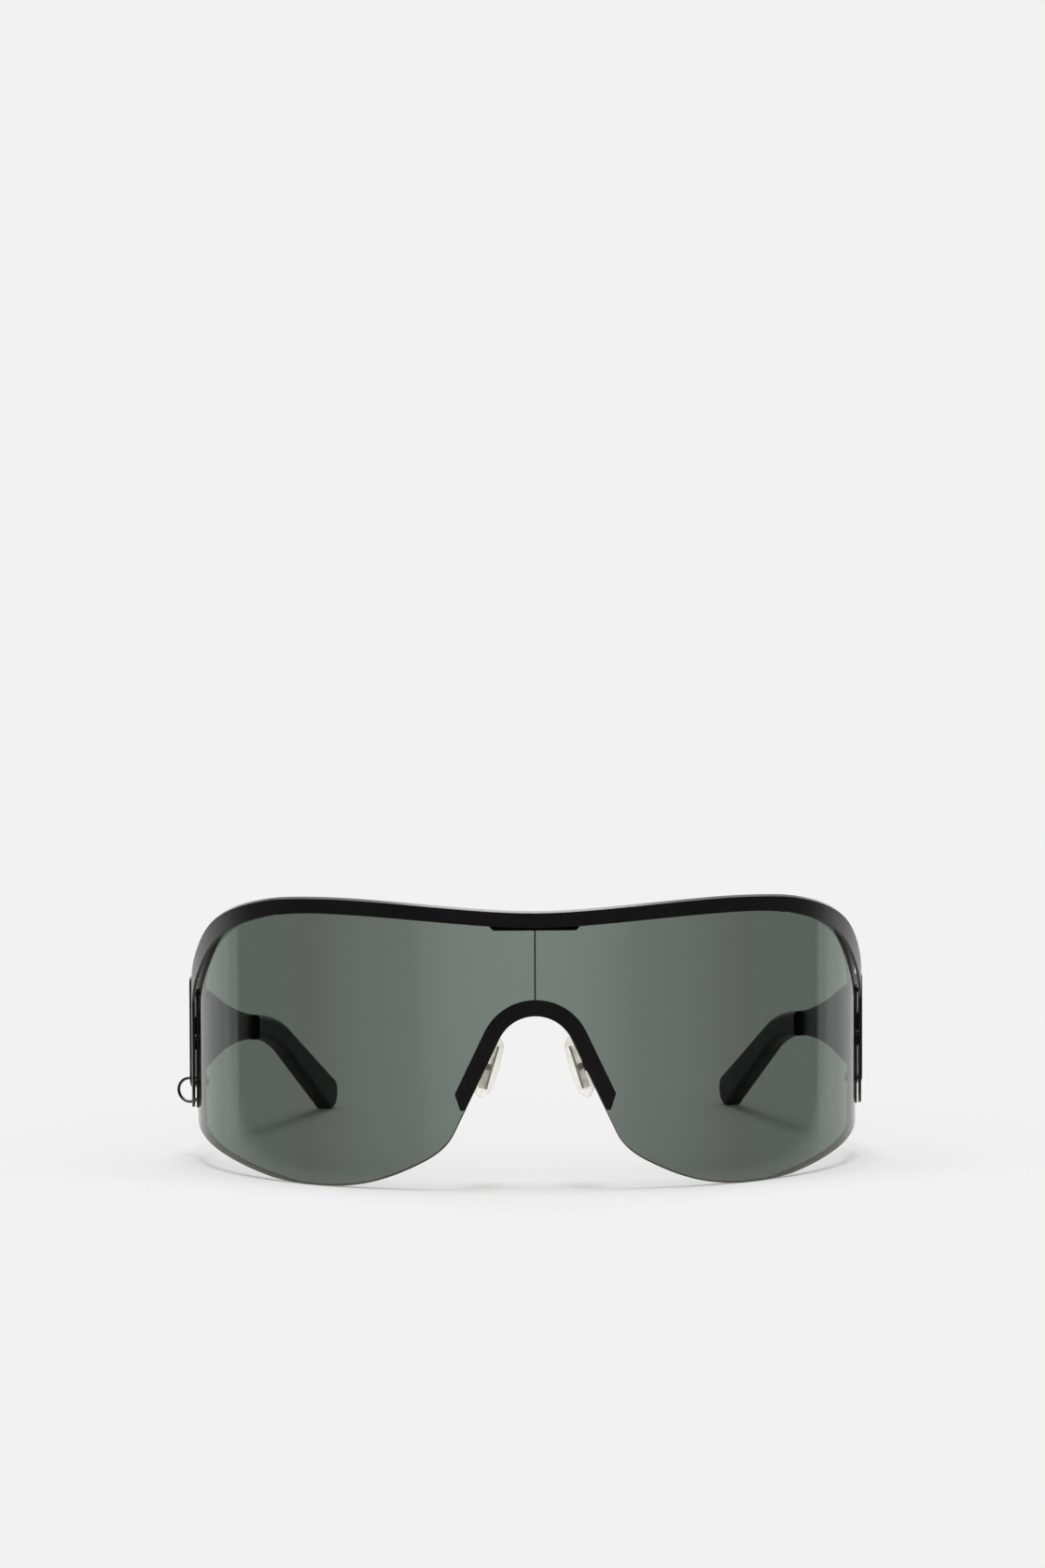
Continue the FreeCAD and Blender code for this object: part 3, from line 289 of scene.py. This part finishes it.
class MetalSettings(bpy.types.PropertyGroup):
    """The frame's coated metal and its small fittings."""

    coat_colour: colour_property(
        "Coating", "Satin black coating of the bar and temples", "#2a2a2a"
    )
    coat_roughness: factor_property(
        "Coating roughness", "How far the satin coating spreads a highlight", 0.3
    )
    blast_size: length_property(
        "Blast grain",
        "Spacing of the fine pits that bead blasting leaves under the coating",
        0.14 * MM,
        0.02 * MM,
    )
    top_chamfer: length_property(
        "Top chamfer", "Chamfer along the brow bar's upper front edge", 0.42 * MM
    )
    fitting_colour: colour_property(
        "Fittings", "Black nickel of the screws, rivets and hinges", "#4a4a4c"
    )
    ring_colour: colour_property("Ring", "Black nickel of the split ring", "#5a5a5c")
    insert_colour: colour_property(
        "Pad inserts", "Satin nickel plate of the nose pads' inserts", "#ece9e2"
    )
    turning_pitch: length_property(
        "Turning marks", "Spacing of the lathe marks on the fittings", 0.50265 * MM, 0.06 * MM
    )


class LensSettings(bpy.types.PropertyGroup):
    """The tinted lens."""

    tint: colour_property("Tint", "What one face lets through, seen straight on", "#b6bdb9")
    near_tint: colour_property(
        "Near tint", f"What one face lets through, seen at {NEAR_ANGLE} degrees", "#abb0ad"
    )
    turned_tint: colour_property(
        "Turned tint", f"What one face lets through, seen at {TURNED_ANGLE} degrees", "#a1a5a2"
    )
    oblique_tint: colour_property(
        "Oblique tint", f"What one face lets through, seen at {OBLIQUE_ANGLE} degrees", "#9daba5"
    )
    lamp_share: factor_property(
        "Lamp share", "How much of the lens's dimming the lamp's light escapes", 0.92
    )
    index: bpy.props.FloatProperty(
        name="Index",
        description="Refractive index of the lens plastic",
        default=1.59,
        min=1,
        max=2,
    )
    edge_colour: colour_property(
        "Edge", "Cut edge of the lens, where the dye shows amber", "#43392a"
    )
    edge_clearness: factor_property(
        "Edge clearness", "Share of the view that goes straight through the cut edge", 0.35
    )
    edge_round: length_property("Edge rounding", "Rounding of the lens's cut edge", 0.12 * MM)


class TipSettings(bpy.types.PropertyGroup):
    """The acetate temple tips."""

    acetate_colour: colour_property("Acetate", "Black cellulose acetate", "#080808")
    polish: factor_property("Polish", "Roughness of the tumbled surface", 0.42)


class PadSettings(bpy.types.PropertyGroup):
    """The silicone nose pads."""

    silicone_colour: colour_property(
        "Silicone", "Clear silicone with a faint warm cast", "#fefcf8"
    )
    cloud: factor_property("Cloud", "Roughness of the moulded silicone", 0.08)
    clearness: factor_property(
        "Clearness", "Share of the view that goes straight through a pad's skin", 0.86
    )
    middle: place_property(
        "Middle", "Middle of the left pad", (9.25 * MM, 8.2 * MM, 24.3 * MM)
    )
    size: place_property(
        "Size", "Width, length and thickness of a pad", (7.0 * MM, 13.0 * MM, 2.4 * MM)
    )
    tilt: angle_property("Tilt", "Lean of the pad's top inwards", 18.9)
    splay: angle_property("Splay", "Turn of the pad's rear edge outwards", 25)
    fullness: factor_property(
        "Fullness", "How far the pad's outline and crown fill out from an oval", 0.35
    )


class StageSettings(bpy.types.PropertyGroup):
    """The studio: floor, backdrop, lights and camera."""

    backdrop: colour_property("Backdrop", "Floor and backdrop", "#f2f2f2")
    fill: factor_property("Fill", "Strength of the even light from all round", 0.2)
    canopy: factor_property(
        "Canopy", "Strength of the light that the wide canopy overhead gives the floor", 0.34
    )
    glow: factor_property("Glow", "Share of the board's tone that is light from beneath", 0.3)
    lean: angle_property(
        "Lean", "Lean of the overhead lamp towards the camera, half that of the canopy", 2
    )
    softness: angle_property("Softness", "Angle across the overhead lamp", 20)
    front_shade: factor_property(
        "Front shade", "How bright the dim studio in front shows in a reflection", 0.012
    )
    softbox: bpy.props.FloatProperty(
        name="Softbox",
        description="How bright the overhead softbox shows in a reflection",
        default=3.5,
        min=0,
    )
    place: place_property(
        "Camera place", "Where the camera stands", (-0.02672, -0.800, 0.11631)
    )
    turn: bpy.props.FloatVectorProperty(
        name="Camera turn",
        description="Yaw to the right, pitch down and roll of the camera",
        default=(math.radians(1.740), math.radians(2.433), math.radians(-0.194)),
        subtype="EULER",
        unit="ROTATION",
    )
    lens: bpy.props.FloatProperty(
        name="Camera lens",
        description="Focal length on a 36 mm sensor",
        default=91.52,
        min=1,
        unit="CAMERA",
    )


def coated_steel(values):
    # Sheet steel, bead blasted and coated satin black: a soft broad highlight, a fine even grain
    # and a slight drift in shade over about 9 mm.
    material, tree = blank_material("satin_black_coated_steel")
    place = own_place(tree)
    grain = noise(tree, place, values.blast_size, 2.0, 0.6)
    drift = noise(tree, place, 9 * MM, 3.0)
    colour = values.coat_colour
    shade = ramp(tree, drift, (0.3, tone(colour, 0.82)), (0.7, tone(colour, 1.15)))
    roughness = values.coat_roughness
    gloss = spread(tree, grain, (0.25, 0.75), (roughness - 0.06, roughness + 0.08))
    pits = {"Height": grain, "Strength": 0.12, "Distance": 0.01 * MM}
    skin = node(
        tree,
        "ShaderNodeBsdfPrincipled",
        {
            "Base Color": shade.outputs["Color"],
            "Roughness": gloss,
            "Normal": node(tree, "ShaderNodeBump", pits).outputs["Normal"],
            "IOR": 1.5,
        },
    )
    node(tree, "ShaderNodeOutputMaterial", {"Surface": skin.outputs["BSDF"]})
    return material


def plated_steel(name, colour, pitch, roughness):
    # Turned steel plated in nickel: glints broken up by lathe marks, sharp or satin with the
    # roughness.
    material, tree = blank_material(name)
    place = own_place(tree)
    marks = node(
        tree,
        "ShaderNodeTexWave",
        {"Vector": place, "Scale": WAVE_PITCH / pitch, "Distortion": 1.5, "Detail": 2.0},
        wave_type="BANDS",
        bands_direction="Z",
    ).outputs["Fac"]
    drift = noise(tree, place, 1.5 * MM, 2.0)
    shade = ramp(tree, drift, (0.3, tone(colour, 0.8)), (0.7, tone(colour, 1.2)))
    gloss = spread(tree, marks, target=(roughness - 0.05, roughness + 0.07))
    grooves = {"Height": marks, "Strength": 0.15, "Distance": 0.005 * MM}
    skin = node(
        tree,
        "ShaderNodeBsdfPrincipled",
        {
            "Base Color": shade.outputs["Color"],
            "Metallic": 1.0,
            "Roughness": gloss,
            "Normal": node(tree, "ShaderNodeBump", grooves).outputs["Normal"],
        },
    )
    node(tree, "ShaderNodeOutputMaterial", {"Surface": skin.outputs["BSDF"]})
    return material


def tinted_lens(values):
    # Dyed lens plastic, hard coated and polished: clear grey-green, a little darker at a slant
    # because the light goes further through the dye, with a sharp reflection that grows to the
    # sides.
    material, tree = blank_material("tinted_lens_plastic")
    slant = node(tree, "ShaderNodeLayerWeight", {"Blend": 0.5}).outputs["Facing"]
    straight = (0, rgba(values.tint))
    oblique = (facing_at(OBLIQUE_ANGLE), rgba(values.oblique_tint))
    dye = ramp(tree, slant, straight, oblique)
    for angle, colour in ((NEAR_ANGLE, values.near_tint), (TURNED_ANGLE, values.turned_tint)):
        dye.color_ramp.elements.new(facing_at(angle)).color = rgba(colour)
    # The lamp's light is dimmed far less than the view, which keeps the shadow on the floor thin.
    path = node(tree, "ShaderNodeLightPath")
    escape = maths(tree, "MULTIPLY", path.outputs["Is Shadow Ray"], values.lamp_share)
    dimming = node(
        tree,
        "ShaderNodeMix",
        {"Factor": escape, 6: dye.outputs["Color"], 7: (1, 1, 1, 1)},
        data_type="RGBA",
    )
    through = node(tree, "ShaderNodeBsdfTransparent", {"Color": dimming.outputs[2]})
    # Only the face that is met first mirrors: the dye takes what the second would add.
    side = node(tree, "ShaderNodeNewGeometry")
    first = maths(tree, "SUBTRACT", 1.0, side.outputs["Backfacing"])
    mirror = node(tree, "ShaderNodeFresnel", {"IOR": values.index})
    share = maths(tree, "MULTIPLY", mirror.outputs["Fac"], first)
    gloss = node(tree, "ShaderNodeBsdfGlossy", {"Color": (1, 1, 1, 1), "Roughness": 0.0})
    skin = mixed(tree, share, through.outputs["BSDF"], gloss.outputs["BSDF"])
    node(tree, "ShaderNodeOutputMaterial", {"Surface": skin})
    return material


def lens_edge(values):
    # The lens's cut and buffed edge: the dye builds up along it to a dark amber, and it passes
    # some light on.
    material, tree = blank_material("buffed_lens_edge")
    streaks = noise(tree, own_place(tree), 0.6 * MM, 2.0)
    colour = values.edge_colour
    shade = ramp(tree, streaks, (0.3, tone(colour, 0.8)), (0.7, tone(colour, 1.2)))
    gloss = spread(tree, streaks, target=(0.15, 0.35))
    skin = node(
        tree,
        "ShaderNodeBsdfPrincipled",
        {"Base Color": shade.outputs["Color"], "Roughness": gloss, "IOR": 1.5},
    )
    through = node(tree, "ShaderNodeBsdfTransparent", {"Color": tone(colour, 3)})
    mix = mixed(tree, values.edge_clearness, skin.outputs["BSDF"], through.outputs["BSDF"])
    node(tree, "ShaderNodeOutputMaterial", {"Surface": mix})
    return material


def black_acetate(values):
    # Cellulose acetate, cut and tumbled to a satin: deep black with a soft sheen that varies
    # slightly, as hand finishing leaves it.
    material, tree = blank_material("satin_black_acetate")
    haze = noise(tree, own_place(tree), 4 * MM, 3.0)
    colour = values.acetate_colour
    shade = ramp(tree, haze, (0.35, tone(colour, 0.8)), (0.7, tone(colour, 1.3)))
    gloss = spread(tree, haze, (0.3, 0.7), (values.polish - 0.05, values.polish + 0.08))
    skin = node(
        tree,
        "ShaderNodeBsdfPrincipled",
        {
            "Base Color": shade.outputs["Color"],
            "Roughness": gloss,
            "IOR": 1.48,
            "Specular IOR Level": 0.25,
        },
    )
    node(tree, "ShaderNodeOutputMaterial", {"Surface": skin.outputs["BSDF"]})
    return material


def clear_silicone(values):
    # Moulded clear silicone: nearly clear in the middle, with a faint cloud, a soft highlight and a
    # rim painted greyer, as painted shade for what the skin would bend into view there.
    material, tree = blank_material("clear_silicone")
    colour = values.silicone_colour
    cloud = noise(tree, own_place(tree), 2.5 * MM, 2.0)
    gloss = spread(tree, cloud, (0.3, 0.7), (values.cloud - 0.04, values.cloud + 0.06))
    skin = node(
        tree,
        "ShaderNodeBsdfPrincipled",
        {
            "Base Color": rgba(colour),
            "Roughness": gloss,
            "IOR": 1.41,
            "Transmission Weight": 0.97,
        },
    )
    # Most of the view, and all the lamp's light, passes straight on to what is behind.
    path = node(tree, "ShaderNodeLightPath")
    share = maths(tree, "MAXIMUM", path.outputs["Is Shadow Ray"], values.clearness)
    # The rim, where the view runs along the skin, is painted a little greyer than the middle:
    # painted shade that stands in for the darker things the skin would bend into view.
    slant = node(tree, "ShaderNodeLayerWeight", {"Blend": 0.5}).outputs["Facing"]
    painted_rim_shade = ramp(tree, slant, (0.45, tone(colour, 0.97)), (0.95, tone(colour, 0.72)))
    clear = node(tree, "ShaderNodeBsdfTransparent", {"Color": painted_rim_shade.outputs["Color"]})
    mix = mixed(tree, share, skin.outputs["BSDF"], clear.outputs["BSDF"])
    node(tree, "ShaderNodeOutputMaterial", {"Surface": mix})
    return material


def clad(names, material):
    """Gives CAD nodes their finish."""
    for name in names:
        slots = frame["nodes"][name].data.materials
        slots.clear()
        slots.append(material)


def joined_copy(name):
    """A copy of a CAD node's mesh, joined along its edges and open in edit mode."""
    source = frame["nodes"][name]
    bpy.ops.object.select_all(action="DESELECT")
    piece = bpy.data.objects.new(f"dressed_{name}", source.data.copy())
    bpy.context.scene.collection.objects.link(piece)
    piece.select_set(True)
    bpy.context.view_layer.objects.active = piece
    piece.data.materials.clear()
    bpy.ops.mesh.customdata_custom_splitnormals_clear()
    bpy.ops.object.mode_set(mode="EDIT")
    bpy.ops.mesh.select_all(action="SELECT")
    bpy.ops.mesh.remove_doubles(threshold=JOIN_REACH)
    bpy.ops.mesh.select_mode(type="EDGE")
    bpy.ops.mesh.select_all(action="DESELECT")
    return piece


def closed_copy(piece, name):
    """Leaves edit mode, smooths the copy and lets it stand for its node."""
    bpy.ops.object.mode_set(mode="OBJECT")
    bpy.ops.object.shade_smooth_by_angle(angle=SMOOTH_ANGLE)
    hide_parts(name)
    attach(piece, frame["nodes"][name]["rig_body"])


def outwards(point):
    """Level direction from the middle of the head to a point on the wrapped front."""
    return Vector((point.x, point.y - HEAD_MIDDLE, 0)).normalized()


def bearing(point):
    """Angle of a point round the wrapped front, seen from the middle of the head."""
    return math.atan2(point.x, HEAD_MIDDLE - point.y)


def take_normals(mesh, source):
    """Gives a lens's faces the CAD's own normals, which keep the mirror images on them smooth."""
    samples = {1: [], -1: []}
    for loop in source.loops:
        place = source.vertices[loop.vertex_index].co
        normal = source.corner_normals[loop.index].vector.copy()
        along = normal.dot(outwards(place))
        if abs(along) > SQUARE_FACE:
            samples[1 if along > 0 else -1].append((bearing(place), normal))
    for side in samples.values():
        side.sort(key=lambda sample: sample[0])
    # A zero vector, as for the rim, leaves a corner's normal as it is.
    normals = [Vector() for loop in mesh.loops]
    for face in mesh.polygons:
        if face.material_index == 0:
            side = samples[1 if face.normal.dot(outwards(face.center)) > 0 else -1]
            for index in face.loop_indices:
                angle = bearing(mesh.vertices[mesh.loops[index].vertex_index].co)
                spot = bisect(side, angle, key=lambda sample: sample[0])
                spot = min(max(spot, 1), len(side) - 1)
                (low, before), (high, after) = side[spot - 1 : spot + 1]
                share = (angle - low) / (high - low) if high > low else 0
                normals[index] = before.lerp(after, share).normalized()
    mesh.normals_split_custom_set(normals)


def top_edges(mesh):
    """The edges between the bar's outer face and its upper rim, the rear one at the sides."""
    mesh.normal_update()
    found = []
    for edge in mesh.edges:
        if len(edge.link_faces) == 2 and edge.calc_face_angle() > TOP_EDGE_ANGLE:
            out = outwards((edge.verts[0].co + edge.verts[1].co) / 2)
            face, rim = sorted(edge.link_faces, key=lambda f: -f.normal.dot(out))
            if face.normal.dot(out) > BAR_FACE and rim.normal.y + rim.normal.z > TOP_RIM:
                found.append(edge)
    return found


def chamfer(mesh, edges, size):
    """Cuts the run of edges back to an even flat, drawn to nothing towards its two low ends."""
    low = min(vert.co.z for edge in edges for vert in edge.verts)
    bmesh.ops.split_edges(mesh, edges=edges)
    # Each place on the run has a corner on the face and one on the rim, which part at the flat.
    corners = {}
    strips = []
    turns = {}
    for edge in [edge for edge in mesh.edges if edge.is_boundary]:
        places = [vert.co.copy().freeze() for vert in edge.verts]
        face = edge.link_faces[0]
        side = "face" if face.normal.dot(outwards(places[0])) > BAR_FACE else "rim"
        for place, vert in zip(places, edge.verts):
            corners.setdefault(place, {})[side] = vert
        if side == "face":
            strips.append(places)
            down = face.normal.cross((places[1] - places[0]).normalized())
            if down.dot(face.calc_center_median() - places[0]) < 0:
                down = -down
            for place in places:
                turns.setdefault(place, []).append((face.normal.copy(), down))
    for places in strips:
        start, end = [corners[place] for place in places]
        ring = (start["face"], end["face"], end["rim"], start["rim"])
        mesh.faces.new(list(dict.fromkeys(ring)))
    # Rim corners that lie inside the flat give way to it.
    run = {vert for ends in corners.values() for vert in ends.values()}
    touching = {edge for ends in corners.values() for edge in ends["rim"].link_edges}
    for vert in {vert for edge in touching for vert in edge.verts} - run:
        nearest = min(strips, key=lambda strip: (vert.co - strip[0]).length)
        if (vert.co - intersect_point_line(vert.co, *nearest)[0]).length < size:
            vert.co -= outwards(vert.co) * size
    for place, pairs in turns.items():
        reach = size * min(1, (place.z - low) / CHAMFER_RISE)
        normal, down = [sum(parts, Vector()).normalized() for parts in zip(*pairs)]
        ends = corners[place]
        if ends["face"] is not ends["rim"]:
            ends["face"].co += down * reach
            ends["rim"].co -= normal * reach
    bmesh.ops.recalc_face_normals(mesh, faces=mesh.faces)


def outline_faces(mesh):
    """The rim faces round the lens's outline: the longest run of them, as the others line holes."""
    left = {face for face in mesh.faces if face.material_index == 1}
    runs = []
    while left:
        ahead = [left.pop()]
        run = set(ahead)
        while ahead:
            near = left.intersection(face for edge in ahead.pop().edges for face in edge.link_faces)
            left -= near
            run |= near
            ahead.extend(near)
        runs.append(run)
    return max(runs, key=len)


class SUNGLASSES_OT_brow_bar(bpy.types.Operator):
    """Chamfer the brow bar's upper front edge, which catches the overhead light"""

    bl_idname = "sunglasses.brow_bar"
    bl_label = "Brow bar"

    def execute(self, context):
        values = context.scene.sunglasses_metal
        piece = joined_copy("brow_bar")
        mesh = bmesh.from_edit_mesh(piece.data)
        chamfer(mesh, top_edges(mesh), values.top_chamfer)
        bmesh.update_edit_mesh(piece.data)
        closed_copy(piece, "brow_bar")
        # The bar shares the coating of the rest of the frame, which is made first.
        piece.data.materials.append(frame["nodes"]["nose_arch"].data.materials[0])
        return {"FINISHED"}


class SUNGLASSES_OT_frame(bpy.types.Operator):
    """Finish the nose arch, centre clip, side strips and temples"""

    bl_idname = "sunglasses.frame"
    bl_label = "Coated frame"

    def execute(self, context):
        values = context.scene.sunglasses_metal
        clad(FRAME_NODES, coated_steel(values))
        return {"FINISHED"}


class SUNGLASSES_OT_fittings(bpy.types.Operator):
    """Finish the screws, rivets, hinges, pad arms and the split ring"""

    bl_idname = "sunglasses.fittings"
    bl_label = "Fittings"

    def execute(self, context):
        values = context.scene.sunglasses_metal
        finishes = (
            ("black_nickel_fittings", FITTING_NODES, values.fitting_colour, 0.28),
            ("black_nickel_ring", ["charm_ring"], values.ring_colour, 0.2),
            (
                "bright_nickel_inserts",
                [f"pad_insert_{side}" for side in SIDES],
                values.insert_colour,
                0.5,
            ),
        )
        for name, nodes, colour, roughness in finishes:
            clad(nodes, plated_steel(name, colour, values.turning_pitch, roughness))
        return {"FINISHED"}


class SUNGLASSES_OT_lenses(bpy.types.Operator):
    """Round the cut edges of the two lens halves, close their seam and tint them"""

    bl_idname = "sunglasses.lenses"
    bl_label = "Lenses"

    def execute(self, context):
        values = context.scene.sunglasses_lens
        faces = tinted_lens(values)
        rim = lens_edge(values)
        for side in SIDES:
            name = f"lens_{side}"
            piece = joined_copy(name)
            piece.data.materials.append(faces)
            piece.data.materials.append(rim)
            mesh = bmesh.from_edit_mesh(piece.data)
            mesh.normal_update()
            for vertex in mesh.verts:
                if abs(vertex.co.x) < SEAM_REACH:
                    vertex.co.x = math.copysign(SEAM_GAP / 2, vertex.co.x)
            for face in mesh.faces:
                along = face.normal.dot(outwards(face.calc_center_median()))
                face.material_index = int(abs(along) < LENS_FACE)
            outline = outline_faces(mesh)
            for edge in mesh.edges:
                edge.select = len(outline.intersection(edge.link_faces)) == 1
            bmesh.update_edit_mesh(piece.data)
            bpy.ops.mesh.bevel(
                offset=values.edge_round,
                segments=2,
                affect="EDGES",
                loop_slide=False,
                material=1,
            )
            closed_copy(piece, name)
            take_normals(piece.data, frame["nodes"][name].data)
        return {"FINISHED"}


class SUNGLASSES_OT_tips(bpy.types.Operator):
    """Finish the acetate temple tips"""

    bl_idname = "sunglasses.tips"
    bl_label = "Temple tips"

    def execute(self, context):
        tips = [f"temple_tip_{side}" for side in SIDES]
        clad(tips, black_acetate(context.scene.sunglasses_tip))
        return {"FINISHED"}


class SUNGLASSES_OT_pads(bpy.types.Operator):
    """Model the two crowned silicone nose pads"""

    bl_idname = "sunglasses.pads"
    bl_label = "Nose pads"

    def execute(self, context):
        values = context.scene.sunglasses_pad
        silicone = clear_silicone(values)
        for side in SIDES:
            sign = 1 if side == "left" else -1
            level = Vector((sign * math.cos(values.splay), -math.sin(values.splay), 0))
            rise = Vector((0, 0, 1))
            along = rise * math.cos(values.tilt) - level * math.sin(values.tilt)
            out = level * math.cos(values.tilt) + rise * math.sin(values.tilt)
            turn = Matrix((along.cross(out), along, out)).transposed()
            middle = Vector((sign * values.middle[0], *values.middle[1:]))
            bpy.ops.object.select_all(action="DESELECT")
            bpy.ops.mesh.primitive_uv_sphere_add(segments=40, ring_count=20, radius=1)
            piece = context.active_object
            piece.name = f"silicone_pad_{side}"
            fuller = piece.modifiers.new("fuller", "CAST")
            fuller.cast_type = "CUBOID"
            fuller.factor = values.fullness
            smooth = piece.modifiers.new("smooth", "SUBSURF")
            smooth.levels = 1
            smooth.render_levels = 1
            for modifier in (fuller.name, smooth.name):
                bpy.ops.object.modifier_apply(modifier=modifier)
            scale = [wanted / made for wanted, made in zip(values.size, piece.dimensions)]
            piece.matrix_world = Matrix.LocRotScale(middle, turn, Vector(scale))
            bpy.ops.object.transform_apply(location=True, rotation=True, scale=True)
            bpy.ops.object.shade_smooth()
            piece.data.materials.append(silicone)
            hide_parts(f"nose_pad_{side}")
            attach(piece, f"{side}_pad")
        return {"FINISHED"}


def floor_paint(values):
    # Matt white studio board, which fades out at its rim so that it runs into the backdrop.
    material, tree = blank_material("matt_studio_board")
    paint = node(tree, "ShaderNodeBsdfDiffuse", {"Color": rgba([BOARD_WHITE] * 3)})
    # Light from beneath thins the shadows on it.
    glow = node(tree, "ShaderNodeEmission", {"Color": rgba(values.backdrop)})
    board = mixed(tree, values.glow, paint.outputs["BSDF"], glow.outputs["Emission"])
    # Its front is cut to a wedge, so that the lens mirrors the dim studio in front.
    place = node(tree, "ShaderNodeSeparateXYZ", {0: own_place(tree)})
    aside = maths(tree, "ABSOLUTE", place.outputs["X"])
    reach = maths(tree, "MULTIPLY_ADD", aside, -WEDGE_SLOPE, place.outputs["Y"])
    rim = spread(tree, reach, WEDGE_FADE, interpolation_type="SMOOTHSTEP")
    clear = node(tree, "ShaderNodeBsdfTransparent")
    skin = mixed(tree, rim, clear.outputs["BSDF"], board)
    node(tree, "ShaderNodeOutputMaterial", {"Surface": skin})
    return material


def studio_world(values):
    world = bpy.data.worlds.new("studio")
    world.use_nodes = True
    tree = world.node_tree
    tree.nodes.clear()
    path = node(tree, "ShaderNodeLightPath")
    sky = node(tree, "ShaderNodeTexCoord").outputs["Generated"]
    heading = node(tree, "ShaderNodeSeparateXYZ", {0: sky})
    # Reflections show the pale backdrop, brightest straight behind, the softbox above and the dim
    # studio in front.
    behind = spread(tree, heading.outputs["Y"], BACKDROP_START)
    above = spread(tree, heading.outputs["Z"], SOFTBOX_START)
    pale = spread(tree, heading.outputs["Y"], BACKDROP_RISE, BACKDROP_LEVELS)
    level_view = blend(tree, behind, values.front_shade, pale)
    mirrored = blend(tree, above, level_view, values.softbox)
    # The canopy brightens with the cube of the cosine from its middle, so that a board that faces
    # it gets 2/5 of its peak.
    lean = 2 * values.lean
    nearness = node(
        tree,
        "ShaderNodeVectorMath",
        {0: sky, 1: (0, -math.sin(lean), math.cos(lean))},
        operation="DOT_PRODUCT",
    )
    height = maths(tree, "MAXIMUM", nearness.outputs["Value"], 0.0)
    cube = maths(tree, "POWER", height, 3.0)
    soft = maths(tree, "MULTIPLY_ADD", cube, values.canopy * 5 / 2, values.fill)
    unseen = blend(tree, path.outputs["Is Glossy Ray"], soft, mirrored)
    # The camera sees the backdrop's own tone, also through the pads.
    rays = (path.outputs["Is Camera Ray"], path.outputs["Is Transmission Ray"])
    level = blend(tree, maths(tree, "MAXIMUM", *rays), unseen, values.backdrop[0])
    light = node(tree, "ShaderNodeBackground", {"Color": (1, 1, 1, 1), "Strength": level})
    node(tree, "ShaderNodeOutputWorld", {"Surface": light.outputs["Background"]})
    return world


class SUNGLASSES_OT_stage(bpy.types.Operator):
    """Set up the floor, the even studio light and the camera"""

    bl_idname = "sunglasses.stage"
    bl_label = "Studio"

    def execute(self, context):
        scene = context.scene
        values = scene.sunglasses_stage
        scene.view_settings.view_transform = "Standard"
        scene.world = studio_world(values)
        bpy.ops.object.select_all(action="DESELECT")
        middle = (0, BOARD_MIDDLE, CAD_BOX[0][2])
        bpy.ops.mesh.primitive_plane_add(size=BOARD_SIZE, location=middle)
        floor = context.active_object
        floor.name = "studio_floor"
        floor.data.materials.append(floor_paint(values))
        # The lamp, the canopy and the fill together bring the board to the backdrop's tone.
        lamp = bpy.data.lights.new("overhead", "SUN")
        soft = values.fill + values.canopy * math.cos(2 * values.lean)
        wanted = values.backdrop[0] / BOARD_WHITE - soft
        lamp.energy = math.pi * wanted / math.cos(values.lean)
        lamp.angle = values.softness
        lamp.specular_factor = LAMP_HIGHLIGHT
        overhead = bpy.data.objects.new("overhead", lamp)
        overhead.rotation_euler.x = values.lean
        scene.collection.objects.link(overhead)
        yaw, pitch, roll = values.turn
        right = Vector((math.cos(yaw), -math.sin(yaw), 0))
        level = Vector((math.sin(yaw), math.cos(yaw), 0))
        ahead = level * math.cos(pitch) - Vector((0, 0, math.sin(pitch)))
        up = right.cross(ahead)
        across = right * math.cos(roll) + up * math.sin(roll)
        rise = up * math.cos(roll) - right * math.sin(roll)
        camera = bpy.data.objects.new("camera", bpy.data.cameras.new("camera"))
        camera.data.sensor_width = 36
        camera.data.lens = values.lens
        camera.data.clip_start = 0.01
        turn = Matrix((across, rise, -ahead)).transposed()
        camera.matrix_world = Matrix.LocRotScale(values.place, turn, None)
        scene.collection.objects.link(camera)
        scene.camera = camera
        return {"FINISHED"}


OPERATORS = (
    SUNGLASSES_OT_frame,
    SUNGLASSES_OT_brow_bar,
    SUNGLASSES_OT_fittings,
    SUNGLASSES_OT_lenses,
    SUNGLASSES_OT_tips,
    SUNGLASSES_OT_pads,
    SUNGLASSES_OT_stage,
)
SETTINGS = {
    "sunglasses_metal": MetalSettings,
    "sunglasses_lens": LensSettings,
    "sunglasses_tip": TipSettings,
    "sunglasses_pad": PadSettings,
    "sunglasses_stage": StageSettings,
}


class SUNGLASSES_PT_panel(bpy.types.Panel):
    """Sizes, colours and steps of the sunglasses"""

    bl_idname = "SUNGLASSES_PT_panel"
    bl_label = "Sunglasses"
    bl_space_type = "VIEW_3D"
    bl_region_type = "UI"
    bl_category = "Sunglasses"

    def draw(self, context):
        for group, kind in SETTINGS.items():
            box = self.layout.box()
            for name in kind.__annotations__:
                box.prop(getattr(context.scene, group), name)
        for operator in OPERATORS:
            self.layout.operator(operator.bl_idname)


CLASSES = (*SETTINGS.values(), *OPERATORS, SUNGLASSES_PT_panel)


def register():
    for kind in CLASSES:
        bpy.utils.register_class(kind)
    for group, kind in SETTINGS.items():
        setattr(bpy.types.Scene, group, bpy.props.PointerProperty(type=kind))


def unregister():
    for group in SETTINGS:
        delattr(bpy.types.Scene, group)
    for kind in reversed(CLASSES):
        bpy.utils.unregister_class(kind)


def main():
    register()
    bpy.ops.sunglasses.frame()
    bpy.ops.sunglasses.brow_bar()
    bpy.ops.sunglasses.fittings()
    bpy.ops.sunglasses.lenses()
    bpy.ops.sunglasses.tips()
    bpy.ops.sunglasses.pads()
    bpy.ops.sunglasses.stage()


if __name__ == "__main__":
    main()
